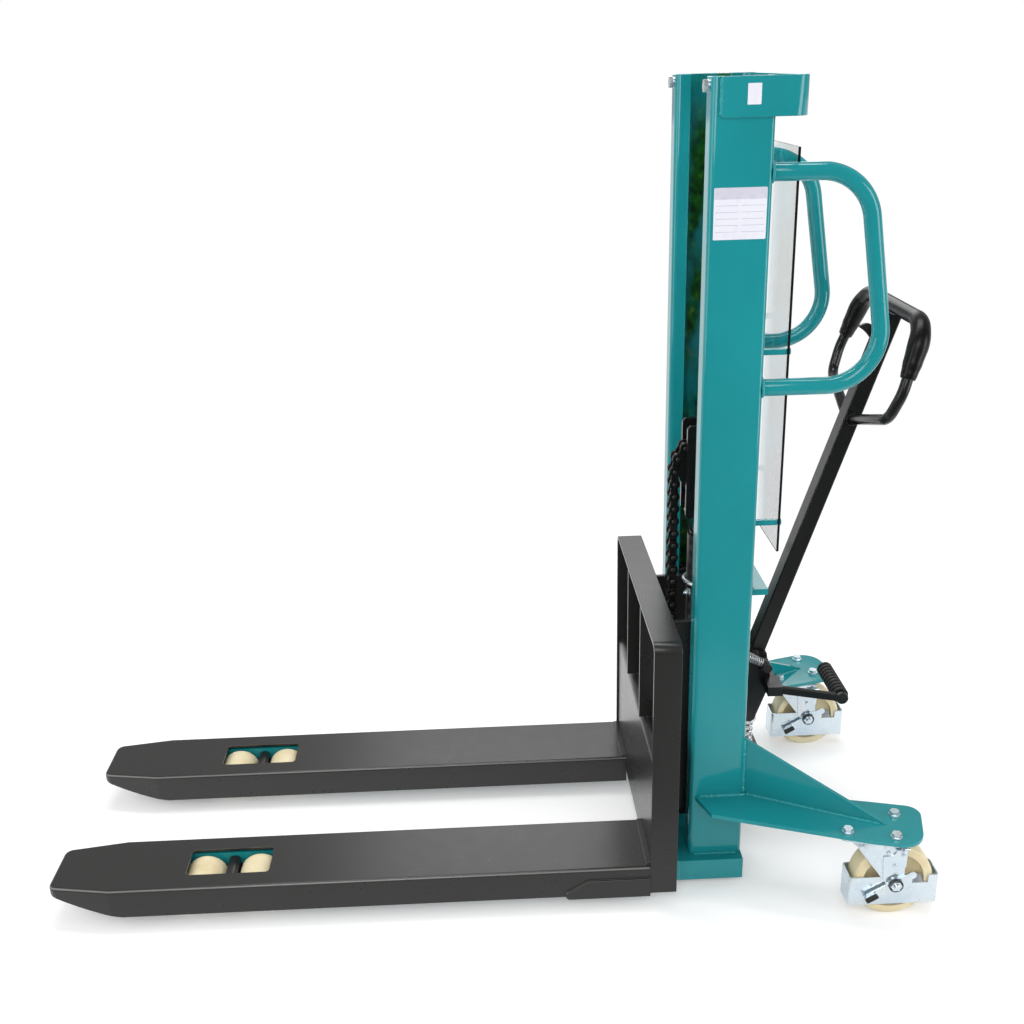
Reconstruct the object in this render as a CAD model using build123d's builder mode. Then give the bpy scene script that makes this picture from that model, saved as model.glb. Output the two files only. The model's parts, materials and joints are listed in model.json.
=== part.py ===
from build123d import *
import os
from math import atan2, cos, degrees, dist, pi, radians, sin, sqrt

# Hand stacker: a straddle mast with a hand-pumped lift, in millimetres, +Z up.
# +X runs towards the operator, the forks point to -X and the left side is -Y.
# The origin lies on the floor under the middle of the overall box.

# Driving dimensions: forks
fork_length = 1150.0
fork_spread = 550.0
fork_width = 160.0
fork_depth = 60.0
fork_wall = 5.0
fork_headroom = 3.0
fork_fold = 6.0
nose_length = 119.0
nose_width = 120.0
nose_corner = 18.0
nose_slope = 140.0
nose_depth = 17.0
nose_belly = 5.0
window_length = 160.0
window_width = 78.0
window_corner = 8.0
heel_plate_length = 163.0
heel_plate_height = 40.0
heel_plate_drop = 4.0
heel_plate_thickness = 4.0
heel_plate_slope = 45.0
heel_plate_nose = 14.0
heel_plate_corner = 8.0
heel_bar_length = 7.0
heel_bar_height = 4.0

# Driving dimensions: straddle legs, bogies and load rollers
leg_bottom = 34.0
leg_headroom = 7.0
leg_wall = 8.0
leg_cap = 6.0
load_roller_diameter = 82.0
load_roller_width = 70.0
load_roller_round = 8.0
bogie_setback = 336.4
bogie_pivot_height = 46.0
bogie_hub_diameter = 22.0
bogie_link_width = 26.0
bogie_link_thickness = 5.0
bogie_block_width = 28.0
bogie_block_height = 26.0
bogie_block_round = 9.0
roller_axle_diameter = 16.0
bay_clearance = 6.0

# Driving dimensions: base and mast
base_front_gap = 11.0
base_width = 434.0
base_bottom = 12.0
base_height = 45.0
base_wall = 8.0
mast_gap = 36.0
mast_width = 389.0
mast_top = 1510.0
channel_depth = 105.0
channel_width = 50.0
channel_wall = 6.0
channel_lip = 28.0
channel_corner = 9.0
head_front_offset = 16.0
head_strip = 6.0
head_height = 62.0
head_reach = 54.0
head_bend = 24.0
stop_bolt_drop = 14.0
stop_bolt_across = 19.0
shelf_height = 599.0
shelf_thickness = 12.0
shelf_depth = 36.0
shelf_lap = 15.5
clamp_web_height = 56.0
clamp_web_width = 110.0
clamp_web_thickness = 8.0

# Driving dimensions: outriggers and castors
castor_setback = 408.0
castor_track = 612.0
castor_trail = 44.0
castor_angle = 15.5
outrigger_thickness = 8.0
gusset_rise = 120.0
gusset_length = 275.0
gusset_angle = 27.25
toe_setback = 10.0
toe_length = 21.0
toe_spread = 62.0
root_inset = 16.0
outrigger_outer = 55.5
outrigger_inner = 71.0
outrigger_end = 92.0
outer_corner = 42.0
inner_corner = 28.0
bolt_pitch_long = 86.0
bolt_pitch_wide = 72.0
bolt_diameter = 10.0
bolt_across = 16.0
bolt_head = 6.4
washer_diameter = 21.0
washer_thickness = 2.5
castor_plate_length = 112.0
castor_plate_width = 96.0
castor_plate_thickness = 6.0
kingpin_diameter = 14.0
race_diameter = 72.0
race_height = 21.7
race_chamfer = 5.0
crown_height = 7.0
crown_front = 29.0
castor_leg = 4.0
castor_boss = 34.0
castor_axle_diameter = 16.0
axle_head_across = 19.0
axle_head = 8.0
wheel_diameter = 150.0
wheel_width = 44.0
wheel_rim = 17.0
wheel_web = 18.0
wheel_hub = 46.0
guard_gap = 7.5
guard_bottom = 25.0
guard_height = 62.0
guard_sheet = 2.5
guard_corner = 6.0
guard_notch_setback = 50.0
guard_notch_length = 30.0
guard_notch_depth = 16.0
brake_width = 15.0
brake_thickness = 3.0
brake_front_length = 64.0
brake_rear_length = 44.0
brake_tilt = 30.0
brake_tip_length = 26.0

# Driving dimensions: push handles and guard screen
handle_tube = 30.0
handle_gap = 3.0
handle_upper = 1361.0
handle_lower = 1001.0
handle_reach_upper = 160.0
handle_reach_lower = 216.0
handle_bend = 90.0
screen_gap = 47.0
screen_width = 320.0
screen_bottom = 686.0
screen_head_gap = 50.0
screen_sheet = 4.0
standoff_size = 10.0
standoff_inset = 56.0
standoff_spacing = 316.0
screw_head = 12.0
screw_height = 3.0

# Driving dimensions: lift cylinder, crosshead and chain
barrel_diameter = 70.0
barrel_bore = 60.0
barrel_bottom = 60.0
rod_gap = 30.0
barrel_floor = 8.0
gland_flange = 62.0
gland_neck = 50.0
gland_step = 6.0
gland_depth = 25.0
rod_diameter = 36.0
piston_height = 30.0
clamp_drop = 32.0
clamp_wire = 8.0
clamp_nut = 13.0
crosshead_drop = 90.0
crosshead_height = 185.0
crosshead_depth = 92.0
crosshead_gap = 46.0
cheek_thickness = 10.0
cheek_chamfer = 6.0
crosshead_foot = 23.0
crosshead_tie = 12.0
pulley_height = 797.0
pulley_hub = 52.0
pulley_pin_diameter = 25.0
chain_pitch = 25.4
chain_roller = 15.9
chain_pin = 8.3
chain_pin_length = 35.0
link_inner_gap = 17.0
link_plate = 3.2
link_radius = 10.5
link_waist = 15.0
wrap_links = 8
chain_end_height = 136.0
anchor_ear = 6.0
anchor_base = 12.0
anchor_depth = 28.0

# Driving dimensions: carriage
carriage_depth = 51.0
hoop_bar = 8.0
hoop_bottom = 30.0
hoop_top = 560.0
hoop_corner = 20.0
rib_spacing = 180.0
rib_thickness = 8.0
front_plate_setback = 4.0
front_plate_sheet = 8.0
front_plate_top = 313.0
front_plate_lift = 2.0
front_plate_drop = 52.0
front_plate_fold = 41.0
front_plate_bend = 12.0
bracket_spacing = 208.0
bracket_thickness = 10.0
bracket_foot = 45.0
bracket_head = 49.0
bracket_rear_gap = 10.0
guide_roller_width = 30.0
guide_roller_lower = 140.0
guide_roller_upper = 480.0
guide_axle_diameter = 30.0
guide_shoulder_gap = 4.5
anchor_bar_height = 28.0
anchor_bar_depth = 35.0

# Driving dimensions: hand pump, rocker, tiller and pedal
pump_front_wall = 6.5
pump_rear_wall = 24.0
pump_width = 84.0
pump_height = 129.0
pump_foot_height = 44.0
pump_corner = 8.0
plunger_diameter = 20.0
plunger_length = 120.0
cap_diameter = 40.0
cap_height = 7.0
cap_lift = 64.0
plunger_spring_wire = 4.0
plunger_spring_turns = 4
lug_gap = 56.0
lug_thickness = 12.0
lug_depth = 44.0
rocker_pin_diameter = 16.0
rocker_gap = 2.5
rocker_width = 48.0
rocker_hub = 40.0
rocker_nose = 26.0
rocker_lead = 5.0
tiller_angle = 18.16
tiller_foot_setback = 250.6
tiller_foot_height = 413.0
tiller_socket = 35.0
tiller_depth = 30.0
tiller_width = 40.0
tiller_wall = 3.0
loop_tube = 20.0
loop_top = 724.0
loop_top_half = 160.0
loop_side_drop = 124.0
loop_side_half = 187.0
loop_low_drop = 176.0
loop_low_half = 172.0
loop_root_drop = 222.0
loop_top_bend = 55.0
loop_side_bend = 60.0
loop_low_bend = 35.0
grip_diameter = 29.0
grip_drop = 98.0
hand_diameter = 36.0
hand_length = 52.0
finger_pivot_drop = 76.0
finger_pivot_inset = 12.0
finger_thickness = 8.0
finger_pin = 6.0
finger_eye = 11.0
finger_reach = 34.0
finger_tip_rise = 20.0
finger_crown_reach = 21.0
finger_crown_rise = 31.0
finger_arch_reach = 22.0
finger_arch_rise = 16.5
finger_brow_rise = 23.0
finger_chin_rise = 1.5
finger_slot_rise = 33.0
finger_slot_drop = 8.0
return_pin_lead = 15.0
return_pin_rise = 46.0
return_pin_diameter = 18.0
return_spring_wire = 2.5
return_spring_diameter = 20.0
return_spring_turns = 18
return_spring_length = 78.0
return_spring_angle = 27.0
spring_seat_thickness = 4.0
spring_seat_diameter = 22.0
pedal_root_setback = 277.0
pedal_root_height = 345.0
pedal_root_length = 30.0
pedal_root_depth = 20.0
pedal_setback = 414.0
pedal_height = 322.0
pedal_arm_side = 66.0
pedal_arm_height = 14.0
pedal_arm_thickness = 14.0
pedal_rod = 18.0
pedal_sleeve_length = 116.0
pedal_sleeve_core = 27.0
pedal_sleeve_rib = 32.0
pedal_ribs = 10
pedal_rib_width = 6.5

# Clearances
overcut = 2.0
running_clearance = 0.05
fit_clearance = 0.1
body_clearance = 0.3
side_clearance = 1.0
roller_clearance = 0.5
wheel_clearance = 4.0

# Shared places
guard_length = wheel_diameter + 2 * (guard_gap + guard_sheet)
guard_width = wheel_width + 2 * (side_clearance + guard_sheet)
leg_inside = guard_width / 2 + body_clearance
leg_outside = leg_inside + castor_leg
rear_reach = castor_setback + castor_trail + guard_length / 2
face_x = (fork_length - rear_reach) / 2
fork_tip = face_x - fork_length
fork_top = load_roller_diameter + fork_headroom + fork_wall
fork_bottom = fork_top - fork_depth
fork_centre = (fork_spread - fork_width) / 2
carriage_rear = face_x + carriage_depth
base_front = carriage_rear + base_front_gap
mast_front = carriage_rear + mast_gap
mast_rear = mast_front + channel_depth
mast_middle = mast_front + channel_depth / 2
mast_half = mast_width / 2
channel_middle = mast_half - channel_width / 2
base_top = base_bottom + base_height
castor_x = face_x + castor_setback
castor_y = castor_track / 2
wheel_x = castor_x + castor_trail
wheel_z = wheel_diameter / 2
crown_bottom = wheel_diameter + wheel_clearance
castor_plate_bottom = crown_bottom + race_height + body_clearance
outrigger_height = castor_plate_bottom + castor_plate_thickness
outrigger_top = outrigger_height + outrigger_thickness
hoop_inner = fork_spread / 2 - hoop_bar
leg_top = fork_top - fork_wall - leg_headroom
leg_width = load_roller_width + 2 * (bogie_link_thickness + 2 * side_clearance + leg_wall)
load_roller_spacing = load_roller_diameter + bogie_hub_diameter + 2 * side_clearance
bogie_x = fork_tip + bogie_setback
load_roller_z = load_roller_diameter / 2
pump_top = base_top + pump_height
rocker_x = mast_middle + barrel_diameter / 2 + rocker_gap + rocker_hub / 2
plunger_x = rocker_x + rocker_hub / 2 + cap_diameter / 2 + side_clearance
cap_bottom = pump_top + cap_lift - cap_height
cap_top = pump_top + cap_lift
rocker_z = cap_top + body_clearance + rocker_nose / 2 - rocker_lead
nose_z = rocker_z + rocker_lead
pulley_radius = chain_pitch / 2 / sin(pi / 2 / wrap_links)
front_run_x = mast_middle - pulley_radius
back_run_x = mast_middle + pulley_radius
shelf_top = shelf_height + shelf_thickness
front_links = int((pulley_height - chain_end_height) / chain_pitch)
back_links = int((pulley_height - shelf_top - anchor_base - link_radius - side_clearance) / chain_pitch)
front_anchor_z = pulley_height - front_links * chain_pitch
back_anchor_z = pulley_height - back_links * chain_pitch
crosshead_bottom = pulley_height - crosshead_drop
barrel_top = crosshead_bottom - rod_gap - 2 * gland_step
clamp_height = shelf_height - clamp_drop
pulley_width = link_inner_gap - 2 * roller_clearance
shelf_half = mast_half - channel_width + shelf_lap
bracket_half = bracket_spacing / 2
lug_inner = lug_gap / 2

# Tiller frame: lean is the direction up the bar, rearward is square to it
lean = Vector(sin(radians(tiller_angle)), 0, cos(radians(tiller_angle)))
rearward = Vector(cos(radians(tiller_angle)), 0, -sin(radians(tiller_angle)))
tiller_foot = Vector(face_x + tiller_foot_setback, 0, tiller_foot_height)
tiller_side = Plane(origin=tiller_foot, x_dir=rearward, z_dir=(0, -1, 0))
loop_plane = Plane(origin=tiller_foot, x_dir=(0, 1, 0), z_dir=rearward)


def save(piece, name):
    """Label a finished piece and write it as a STEP file."""
    piece.part.label = name
    export_step(piece.part, f"parts/{name}.step")


def side_plane(y):
    """Plane square to Y whose sketch axes run along +X and +Z."""
    return Plane.XZ.offset(-y)


def round_bar(x, z, radius, y_from, y_to, mode=Mode.ADD):
    """Cylinder along Y in the active part."""
    with BuildSketch(side_plane(y_from)) as section:
        with Locations((x, z)):
            Circle(radius)
    extrude(section.sketch, amount=y_from - y_to, mode=mode)


def flat_plate(points, y_from, y_to, mode=Mode.ADD):
    """Plate square to Y with a straight-sided outline in X and Z."""
    with BuildSketch(side_plane(y_from)) as section:
        Polygon(*points, align=None)
    extrude(section.sketch, amount=y_from - y_to, mode=mode)


def block(x_from, x_to, y_from, y_to, z_from, z_to, mode=Mode.ADD):
    """Box between six planes in the active part."""
    centre = ((x_from + x_to) / 2, (y_from + y_to) / 2, (z_from + z_to) / 2)
    with Locations(centre):
        Box(x_to - x_from, y_to - y_from, z_to - z_from, mode=mode)


def mirrored(source, name):
    """The opposite hand of a finished piece."""
    with BuildPart() as twin:
        mirror(source.part, about=Plane.XZ)
    save(twin, name)


def tube_along(path, radius, bore=0.0):
    """Sweep a round section, with an optional bore, along a path in the active part."""
    wire = path.wires()[0]
    with BuildSketch(Plane(origin=wire @ 0, z_dir=wire % 0)) as section:
        Circle(radius)
        if bore:
            Circle(bore, mode=Mode.SUBTRACT)
    sweep(sections=section.sketch, path=wire)


os.makedirs("parts", exist_ok=True)


# Forks: folded shells, open below, with a roller window and a closed rising nose
def fork_plan(height, inset, rear):
    """Fork outline seen from above, drawn in from the outer faces by the inset."""
    half = fork_width / 2 - inset
    tip_half = nose_width / 2 - inset
    tip = fork_tip + inset
    kink = fork_tip + nose_length
    with BuildSketch(Plane((0, -fork_centre, height))) as plan:
        Polygon((rear, -half), (rear, half), (kink, half), (tip, tip_half), (tip, -tip_half),
                (kink, -half), align=None)
        fillet(plan.vertices().group_by(Axis.X)[0], radius=nose_corner - inset)
    return plan.sketch


def cut_below_nose(lift):
    """Round off the underside of the nose, raised by the lift."""
    slope_end = (fork_tip + nose_slope, fork_bottom + lift)
    tip = (fork_tip, fork_top - nose_depth + lift)
    belly = ((slope_end[0] + tip[0]) / 2, (slope_end[1] + tip[1]) / 2 - nose_belly)
    low = fork_bottom - 2 * overcut
    front = fork_tip - overcut
    with BuildSketch(side_plane(-fork_centre - fork_width)) as below:
        with BuildLine():
            ThreePointArc(slope_end, belly, tip)
            Polyline(tip, (front, tip[1]), (front, low), (slope_end[0], low), slope_end)
        make_face()
    extrude(below.sketch, amount=-2 * fork_width, mode=Mode.SUBTRACT)


front_plate_front = face_x + front_plate_setback
front_plate_rear = front_plate_front + front_plate_sheet
with BuildPart() as fork_cavity:
    cavity_plan = fork_plan(fork_bottom - overcut, fork_wall, front_plate_rear)
    extrude(cavity_plan, amount=fork_depth - fork_wall + overcut)
    cut_below_nose(fork_wall)

with BuildPart() as fork_left:
    extrude(fork_plan(fork_bottom, 0, front_plate_front), amount=fork_depth)
    fillet(fork_left.faces().sort_by(Axis.Z)[-1].edges().sort_by(Axis.X)[:-1], radius=fork_fold)
    cut_below_nose(0)
    add(fork_cavity.part, mode=Mode.SUBTRACT)
    block(face_x, front_plate_rear, -fork_spread / 2 - overcut, -hoop_inner, fork_bottom - overcut,
          fork_top + overcut, Mode.SUBTRACT)
    with BuildSketch(Plane((bogie_x, -fork_centre, fork_top))):
        RectangleRounded(window_length, window_width, window_corner)
    extrude(amount=-2 * fork_wall, mode=Mode.SUBTRACT)
    heel_low = fork_bottom - heel_plate_drop
    heel_front = face_x - heel_plate_length
    with BuildSketch(side_plane(-fork_spread / 2)) as heel_plate:
        Polygon((face_x, heel_low), (face_x, heel_low + heel_plate_height),
                (heel_front + heel_plate_slope, heel_low + heel_plate_height),
                (heel_front, heel_low + heel_plate_nose), (heel_front, heel_low), align=None)
        fillet(heel_plate.vertices().sort_by(Axis.X)[:3], radius=heel_plate_corner)
    extrude(amount=heel_plate_thickness)
    block(face_x - heel_bar_length, front_plate_front, -hoop_inner,
          -fork_centre + fork_width / 2 - fork_fold, fork_top, fork_top + heel_bar_height)
save(fork_left, "fork_left")
mirrored(fork_left, "fork_right")

# Carriage: bent hoop, ribs, folded front plate, roller brackets and chain anchor
with BuildPart() as carriage_hoop:
    with BuildSketch(Plane.YZ.offset(face_x)):
        with BuildLine():
            side_line = fork_spread / 2 - hoop_bar / 2
            top_line = hoop_top - hoop_bar / 2
            FilletPolyline((-side_line, hoop_bottom), (-side_line, top_line), (side_line, top_line),
                           (side_line, hoop_bottom), radius=hoop_corner - hoop_bar / 2)
        trace(line_width=hoop_bar)
    extrude(amount=carriage_depth)
save(carriage_hoop, "carriage_hoop")

with BuildPart() as carriage_ribs:
    block(face_x, carriage_rear, -rib_spacing / 2 - rib_thickness / 2, -rib_spacing / 2 + rib_thickness / 2,
          front_plate_top, hoop_top - hoop_bar)
    mirror(about=Plane.XZ)
save(carriage_ribs, "carriage_ribs")

with BuildPart() as carriage_front_plate:
    with BuildSketch(Plane.XZ):
        with BuildLine():
            plate_line = front_plate_front + front_plate_sheet / 2
            fold_line = front_plate_top - front_plate_sheet / 2
            FilletPolyline((plate_line, front_plate_drop), (plate_line, fold_line),
                           (front_plate_front + front_plate_fold, fold_line), radius=front_plate_bend)
        trace(line_width=front_plate_sheet)
    extrude(amount=hoop_inner, both=True)
    fork_inner = fork_spread / 2 - fork_width
    for side in (-1, 1):
        block(face_x, carriage_rear, min(side * hoop_inner, side * (fork_inner - side_clearance)),
              max(side * hoop_inner, side * (fork_inner - side_clearance)),
              front_plate_drop - overcut, fork_top + front_plate_lift, Mode.SUBTRACT)
save(carriage_front_plate, "carriage_front_plate")

bracket_rear = mast_rear - bracket_rear_gap
bracket_bottom = guide_roller_lower - bracket_foot
bracket_top = guide_roller_upper + bracket_head
guide_shoulder_diameter = channel_depth - 2 * (channel_lip + guide_shoulder_gap)
guide_roller_inner = channel_middle - guide_roller_width / 2
axle_end = channel_middle + guide_roller_width / 2 + side_clearance
with BuildPart() as roller_brackets:
    fold_rear = front_plate_front + front_plate_fold + front_plate_sheet
    fold_underside = front_plate_top - front_plate_sheet - front_plate_bend
    bracket_outline = [(front_plate_rear, bracket_bottom), (front_plate_rear, fold_underside),
                       (fold_rear, fold_underside), (fold_rear, bracket_top), (bracket_rear, bracket_top),
                       (bracket_rear, bracket_bottom)]
    flat_plate(bracket_outline, -bracket_half - bracket_thickness, -bracket_half)
    for height in (guide_roller_lower, guide_roller_upper):
        round_bar(mast_middle, height, guide_shoulder_diameter / 2,
                  -guide_roller_inner + body_clearance, -bracket_half)
        round_bar(mast_middle, height, guide_axle_diameter / 2, -axle_end, -bracket_half)
    mirror(about=Plane.XZ)
save(roller_brackets, "roller_brackets")

guide_roller_radius = channel_depth / 2 - channel_wall - roller_clearance
for height, level in ((guide_roller_upper, "upper"), (guide_roller_lower, "lower")):
    with BuildPart() as guide_rollers:
        round_bar(mast_middle, height, guide_roller_radius, -guide_roller_inner - guide_roller_width,
                  -guide_roller_inner)
        chamfer(guide_rollers.edges().filter_by(GeomType.CIRCLE), length=2 * side_clearance)
        round_bar(mast_middle, height, guide_axle_diameter / 2 + running_clearance, -mast_half, 0,
                  Mode.SUBTRACT)
        mirror(about=Plane.XZ)
    save(guide_rollers, f"guide_rollers_{level}")


def chain_clevis(x, base_z, pin_z):
    """Two ears standing on a base either side of a chain end."""
    ear_inner = chain_pin_length / 2 + side_clearance
    ear_outer = ear_inner + anchor_ear
    ear_top = pin_z + link_radius
    for side in (-1, 1):
        low, high = sorted((side * ear_inner, side * ear_outer))
        block(x - anchor_depth / 2, x + anchor_depth / 2, low, high, base_z, ear_top)


anchor_bar_top = front_anchor_z - link_radius - body_clearance
with BuildPart() as carriage_chain_anchor:
    block(front_run_x - anchor_bar_depth / 2, front_run_x + anchor_bar_depth / 2,
          -bracket_half, bracket_half, anchor_bar_top - anchor_bar_height, anchor_bar_top)
    chain_clevis(front_run_x, anchor_bar_top, front_anchor_z)
save(carriage_chain_anchor, "carriage_chain_anchor")

# Straddle legs: inverted channels inside the forks, with an open bay for the bogies
leg_front = bogie_x - load_roller_spacing / 2 - load_roller_diameter / 2 - bay_clearance - leg_cap
bay_rear = bogie_x + load_roller_spacing / 2 + load_roller_diameter / 2 + bay_clearance
leg_inner = leg_width / 2 - leg_wall
with BuildPart() as leg_left:
    block(leg_front, base_front, -fork_centre - leg_width / 2, -fork_centre + leg_width / 2,
          leg_bottom, leg_top)
    block(leg_front + leg_cap, base_front, -fork_centre - leg_inner, -fork_centre + leg_inner,
          leg_bottom - overcut, leg_top - leg_wall, Mode.SUBTRACT)
    block(leg_front + leg_cap, bay_rear, -fork_centre - leg_inner, -fork_centre + leg_inner,
          leg_bottom, leg_top + overcut, Mode.SUBTRACT)
    round_bar(bogie_x, bogie_pivot_height, roller_axle_diameter / 2, -fork_centre - leg_inner,
              -fork_centre + leg_inner)
save(leg_left, "leg_left")
mirrored(leg_left, "leg_right")

# Bogies: two links joined by a hub block, with the axles of a tandem roller pair
link_outer = leg_inner - side_clearance
link_inner = link_outer - bogie_link_thickness
roller_places = [bogie_x - load_roller_spacing / 2, bogie_x + load_roller_spacing / 2]
with BuildPart() as bogie_left:
    with BuildSketch(side_plane(-fork_centre - link_outer)):
        with Locations((bogie_x, load_roller_z)):
            SlotCenterToCenter(load_roller_spacing, bogie_link_width)
    extrude(amount=-2 * link_outer)
    with BuildSketch(side_plane(-fork_centre - link_inner)):
        with Locations((bogie_x, load_roller_z)):
            Rectangle(2 * load_roller_spacing, 2 * bogie_link_width)
    extrude(amount=-2 * link_inner, mode=Mode.SUBTRACT)
    half_top = bogie_block_width / 2
    half_foot = bogie_hub_diameter / 3
    block_top = bogie_pivot_height + bogie_block_height
    flat_plate([(bogie_x - half_foot, bogie_pivot_height), (bogie_x + half_foot, bogie_pivot_height),
                (bogie_x + half_top, block_top), (bogie_x - half_top, block_top)],
               -fork_centre - link_outer, -fork_centre + link_outer)
    fillet(bogie_left.edges().filter_by(Axis.Y).group_by(Axis.Z)[-1], radius=bogie_block_round)
    round_bar(bogie_x, bogie_pivot_height, bogie_hub_diameter / 2, -fork_centre - link_outer,
              -fork_centre + link_outer)
    for x in roller_places:
        round_bar(x, load_roller_z, roller_axle_diameter / 2, -fork_centre - link_outer,
                  -fork_centre + link_outer)
    round_bar(bogie_x, bogie_pivot_height, roller_axle_diameter / 2 + running_clearance,
              -fork_centre - leg_width, -fork_centre + leg_width, Mode.SUBTRACT)
save(bogie_left, "bogie_left")
mirrored(bogie_left, "bogie_right")

for x, place in zip(roller_places, ("front", "rear")):
    with BuildPart() as load_roller_left:
        round_bar(x, load_roller_z, load_roller_diameter / 2, -fork_centre - load_roller_width / 2,
                  -fork_centre + load_roller_width / 2)
        fillet(load_roller_left.edges().filter_by(GeomType.CIRCLE), radius=load_roller_round)
        round_bar(x, load_roller_z, roller_axle_diameter / 2 + running_clearance, -fork_spread, 0,
                  Mode.SUBTRACT)
    save(load_roller_left, f"load_roller_{place}_left")
    mirrored(load_roller_left, f"load_roller_{place}_right")

# Base box, open below
with BuildPart() as base_box:
    block(base_front, mast_rear, -base_width / 2, base_width / 2, base_bottom, base_top)
    block(base_front + base_wall, mast_rear - base_wall,
          -base_width / 2 + base_wall, base_width / 2 - base_wall,
          base_bottom - overcut, base_top - base_wall, Mode.SUBTRACT)
save(base_box, "base_box")

# Mast: lipped channels that face each other, tied by a bent strip at the head
with BuildPart() as mast_channel_left:
    with BuildSketch(Plane((mast_middle, -channel_middle, base_top))):
        RectangleRounded(channel_depth, channel_width, channel_corner)
        RectangleRounded(channel_depth - 2 * channel_wall, channel_width - 2 * channel_wall,
                         channel_corner - channel_wall, mode=Mode.SUBTRACT)
        with Locations((0, channel_width / 2)):
            Rectangle(channel_depth - 2 * channel_lip, 2 * channel_wall + overcut, mode=Mode.SUBTRACT)
    extrude(amount=mast_top - base_top)
save(mast_channel_left, "mast_channel_left")
mirrored(mast_channel_left, "mast_channel_right")

with BuildPart() as mast_head_bracket:
    with BuildSketch(Plane.XY.offset(mast_top - head_height)):
        with BuildLine():
            strip_side = mast_half + head_strip / 2
            strip_rear = mast_rear + head_reach - head_strip / 2
            strip_front = mast_front + head_front_offset
            FilletPolyline((strip_front, -strip_side), (strip_rear, -strip_side), (strip_rear, strip_side),
                           (strip_front, strip_side), radius=head_bend)
        trace(line_width=head_strip)
    extrude(amount=head_height)
save(mast_head_bracket, "mast_head_bracket")

# Rear shelf: a cross plate behind the mast with a hanging web for the cylinder clamp
clamp_radius = barrel_diameter / 2 + body_clearance + clamp_wire / 2
with BuildPart() as rear_shelf:
    block(mast_rear, mast_rear + shelf_depth, -shelf_half, shelf_half, shelf_height, shelf_top)
    block(mast_rear, mast_rear + clamp_web_thickness, -clamp_web_width / 2, clamp_web_width / 2,
          shelf_height - clamp_web_height, shelf_height)
    with BuildSketch(Plane.YZ.offset(mast_rear)):
        with Locations((-clamp_radius, clamp_height), (clamp_radius, clamp_height)):
            Circle(clamp_wire / 2 + running_clearance)
    extrude(amount=clamp_web_thickness, mode=Mode.SUBTRACT)
save(rear_shelf, "rear_shelf")

# Outriggers: a floor-parallel plate with an upright gusset, bolted over each castor
castor_seat = Plane(origin=(castor_x, -castor_y, castor_plate_bottom),
                    x_dir=(cos(radians(castor_angle)), -sin(radians(castor_angle)), 0), z_dir=(0, 0, 1))
gusset_plane = Plane(origin=(mast_rear, -mast_half + channel_corner, outrigger_top),
                     x_dir=(cos(radians(gusset_angle)), -sin(radians(gusset_angle)), 0),
                     z_dir=(-sin(radians(gusset_angle)), -cos(radians(gusset_angle)), 0))
with BuildPart() as outrigger_left:
    with BuildSketch(gusset_plane):
        Polygon((-channel_width, 0), (gusset_length, 0), (0, gusset_rise), (-channel_width, gusset_rise),
                align=None)
    extrude(amount=outrigger_thickness / 2, both=True)
    split(bisect_by=Plane.YZ.offset(mast_rear), keep=Keep.TOP)
    seat_corners = [(0, -outrigger_outer), (outrigger_end, -outrigger_outer),
                    (outrigger_end, outrigger_inner), (0, outrigger_inner)]
    plate_points = [castor_seat.from_local_coords(Vector(*corner)) for corner in seat_corners]
    toe_front = mast_front + toe_setback
    with BuildSketch(Plane.XY.offset(outrigger_height)) as plate:
        Polygon((toe_front, -mast_half), (toe_front + toe_length, -mast_half - toe_spread),
                *[(point.X, point.Y) for point in plate_points], (mast_rear, -mast_half + root_inset),
                (mast_rear, -mast_half), align=None)
        rear_corners = plate.vertices().sort_by(Axis.X)[-2:].sort_by(Axis.Y)
        fillet(rear_corners[0], radius=outer_corner)
        fillet(plate.vertices().sort_by(Axis.X)[-1], radius=inner_corner)
    extrude(amount=outrigger_thickness)
    with BuildSketch(castor_seat):
        with GridLocations(bolt_pitch_long, bolt_pitch_wide, 2, 2):
            Circle(bolt_diameter / 2 + running_clearance)
    extrude(amount=outrigger_top, mode=Mode.SUBTRACT)
save(outrigger_left, "outrigger_left")
mirrored(outrigger_left, "outrigger_right")

# Castor plates with their kingpins, bolted under the outriggers
with BuildPart() as castor_plates:
    with BuildSketch(castor_seat):
        RectangleRounded(castor_plate_length, castor_plate_width, bolt_diameter)
        with GridLocations(bolt_pitch_long, bolt_pitch_wide, 2, 2):
            Circle(bolt_diameter / 2 + running_clearance, mode=Mode.SUBTRACT)
    extrude(amount=castor_plate_thickness)
    with BuildSketch(castor_seat):
        Circle(kingpin_diameter / 2)
    extrude(amount=crown_bottom - castor_plate_bottom)
    mirror(about=Plane.XZ)
save(castor_plates, "castor_plates")

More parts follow.
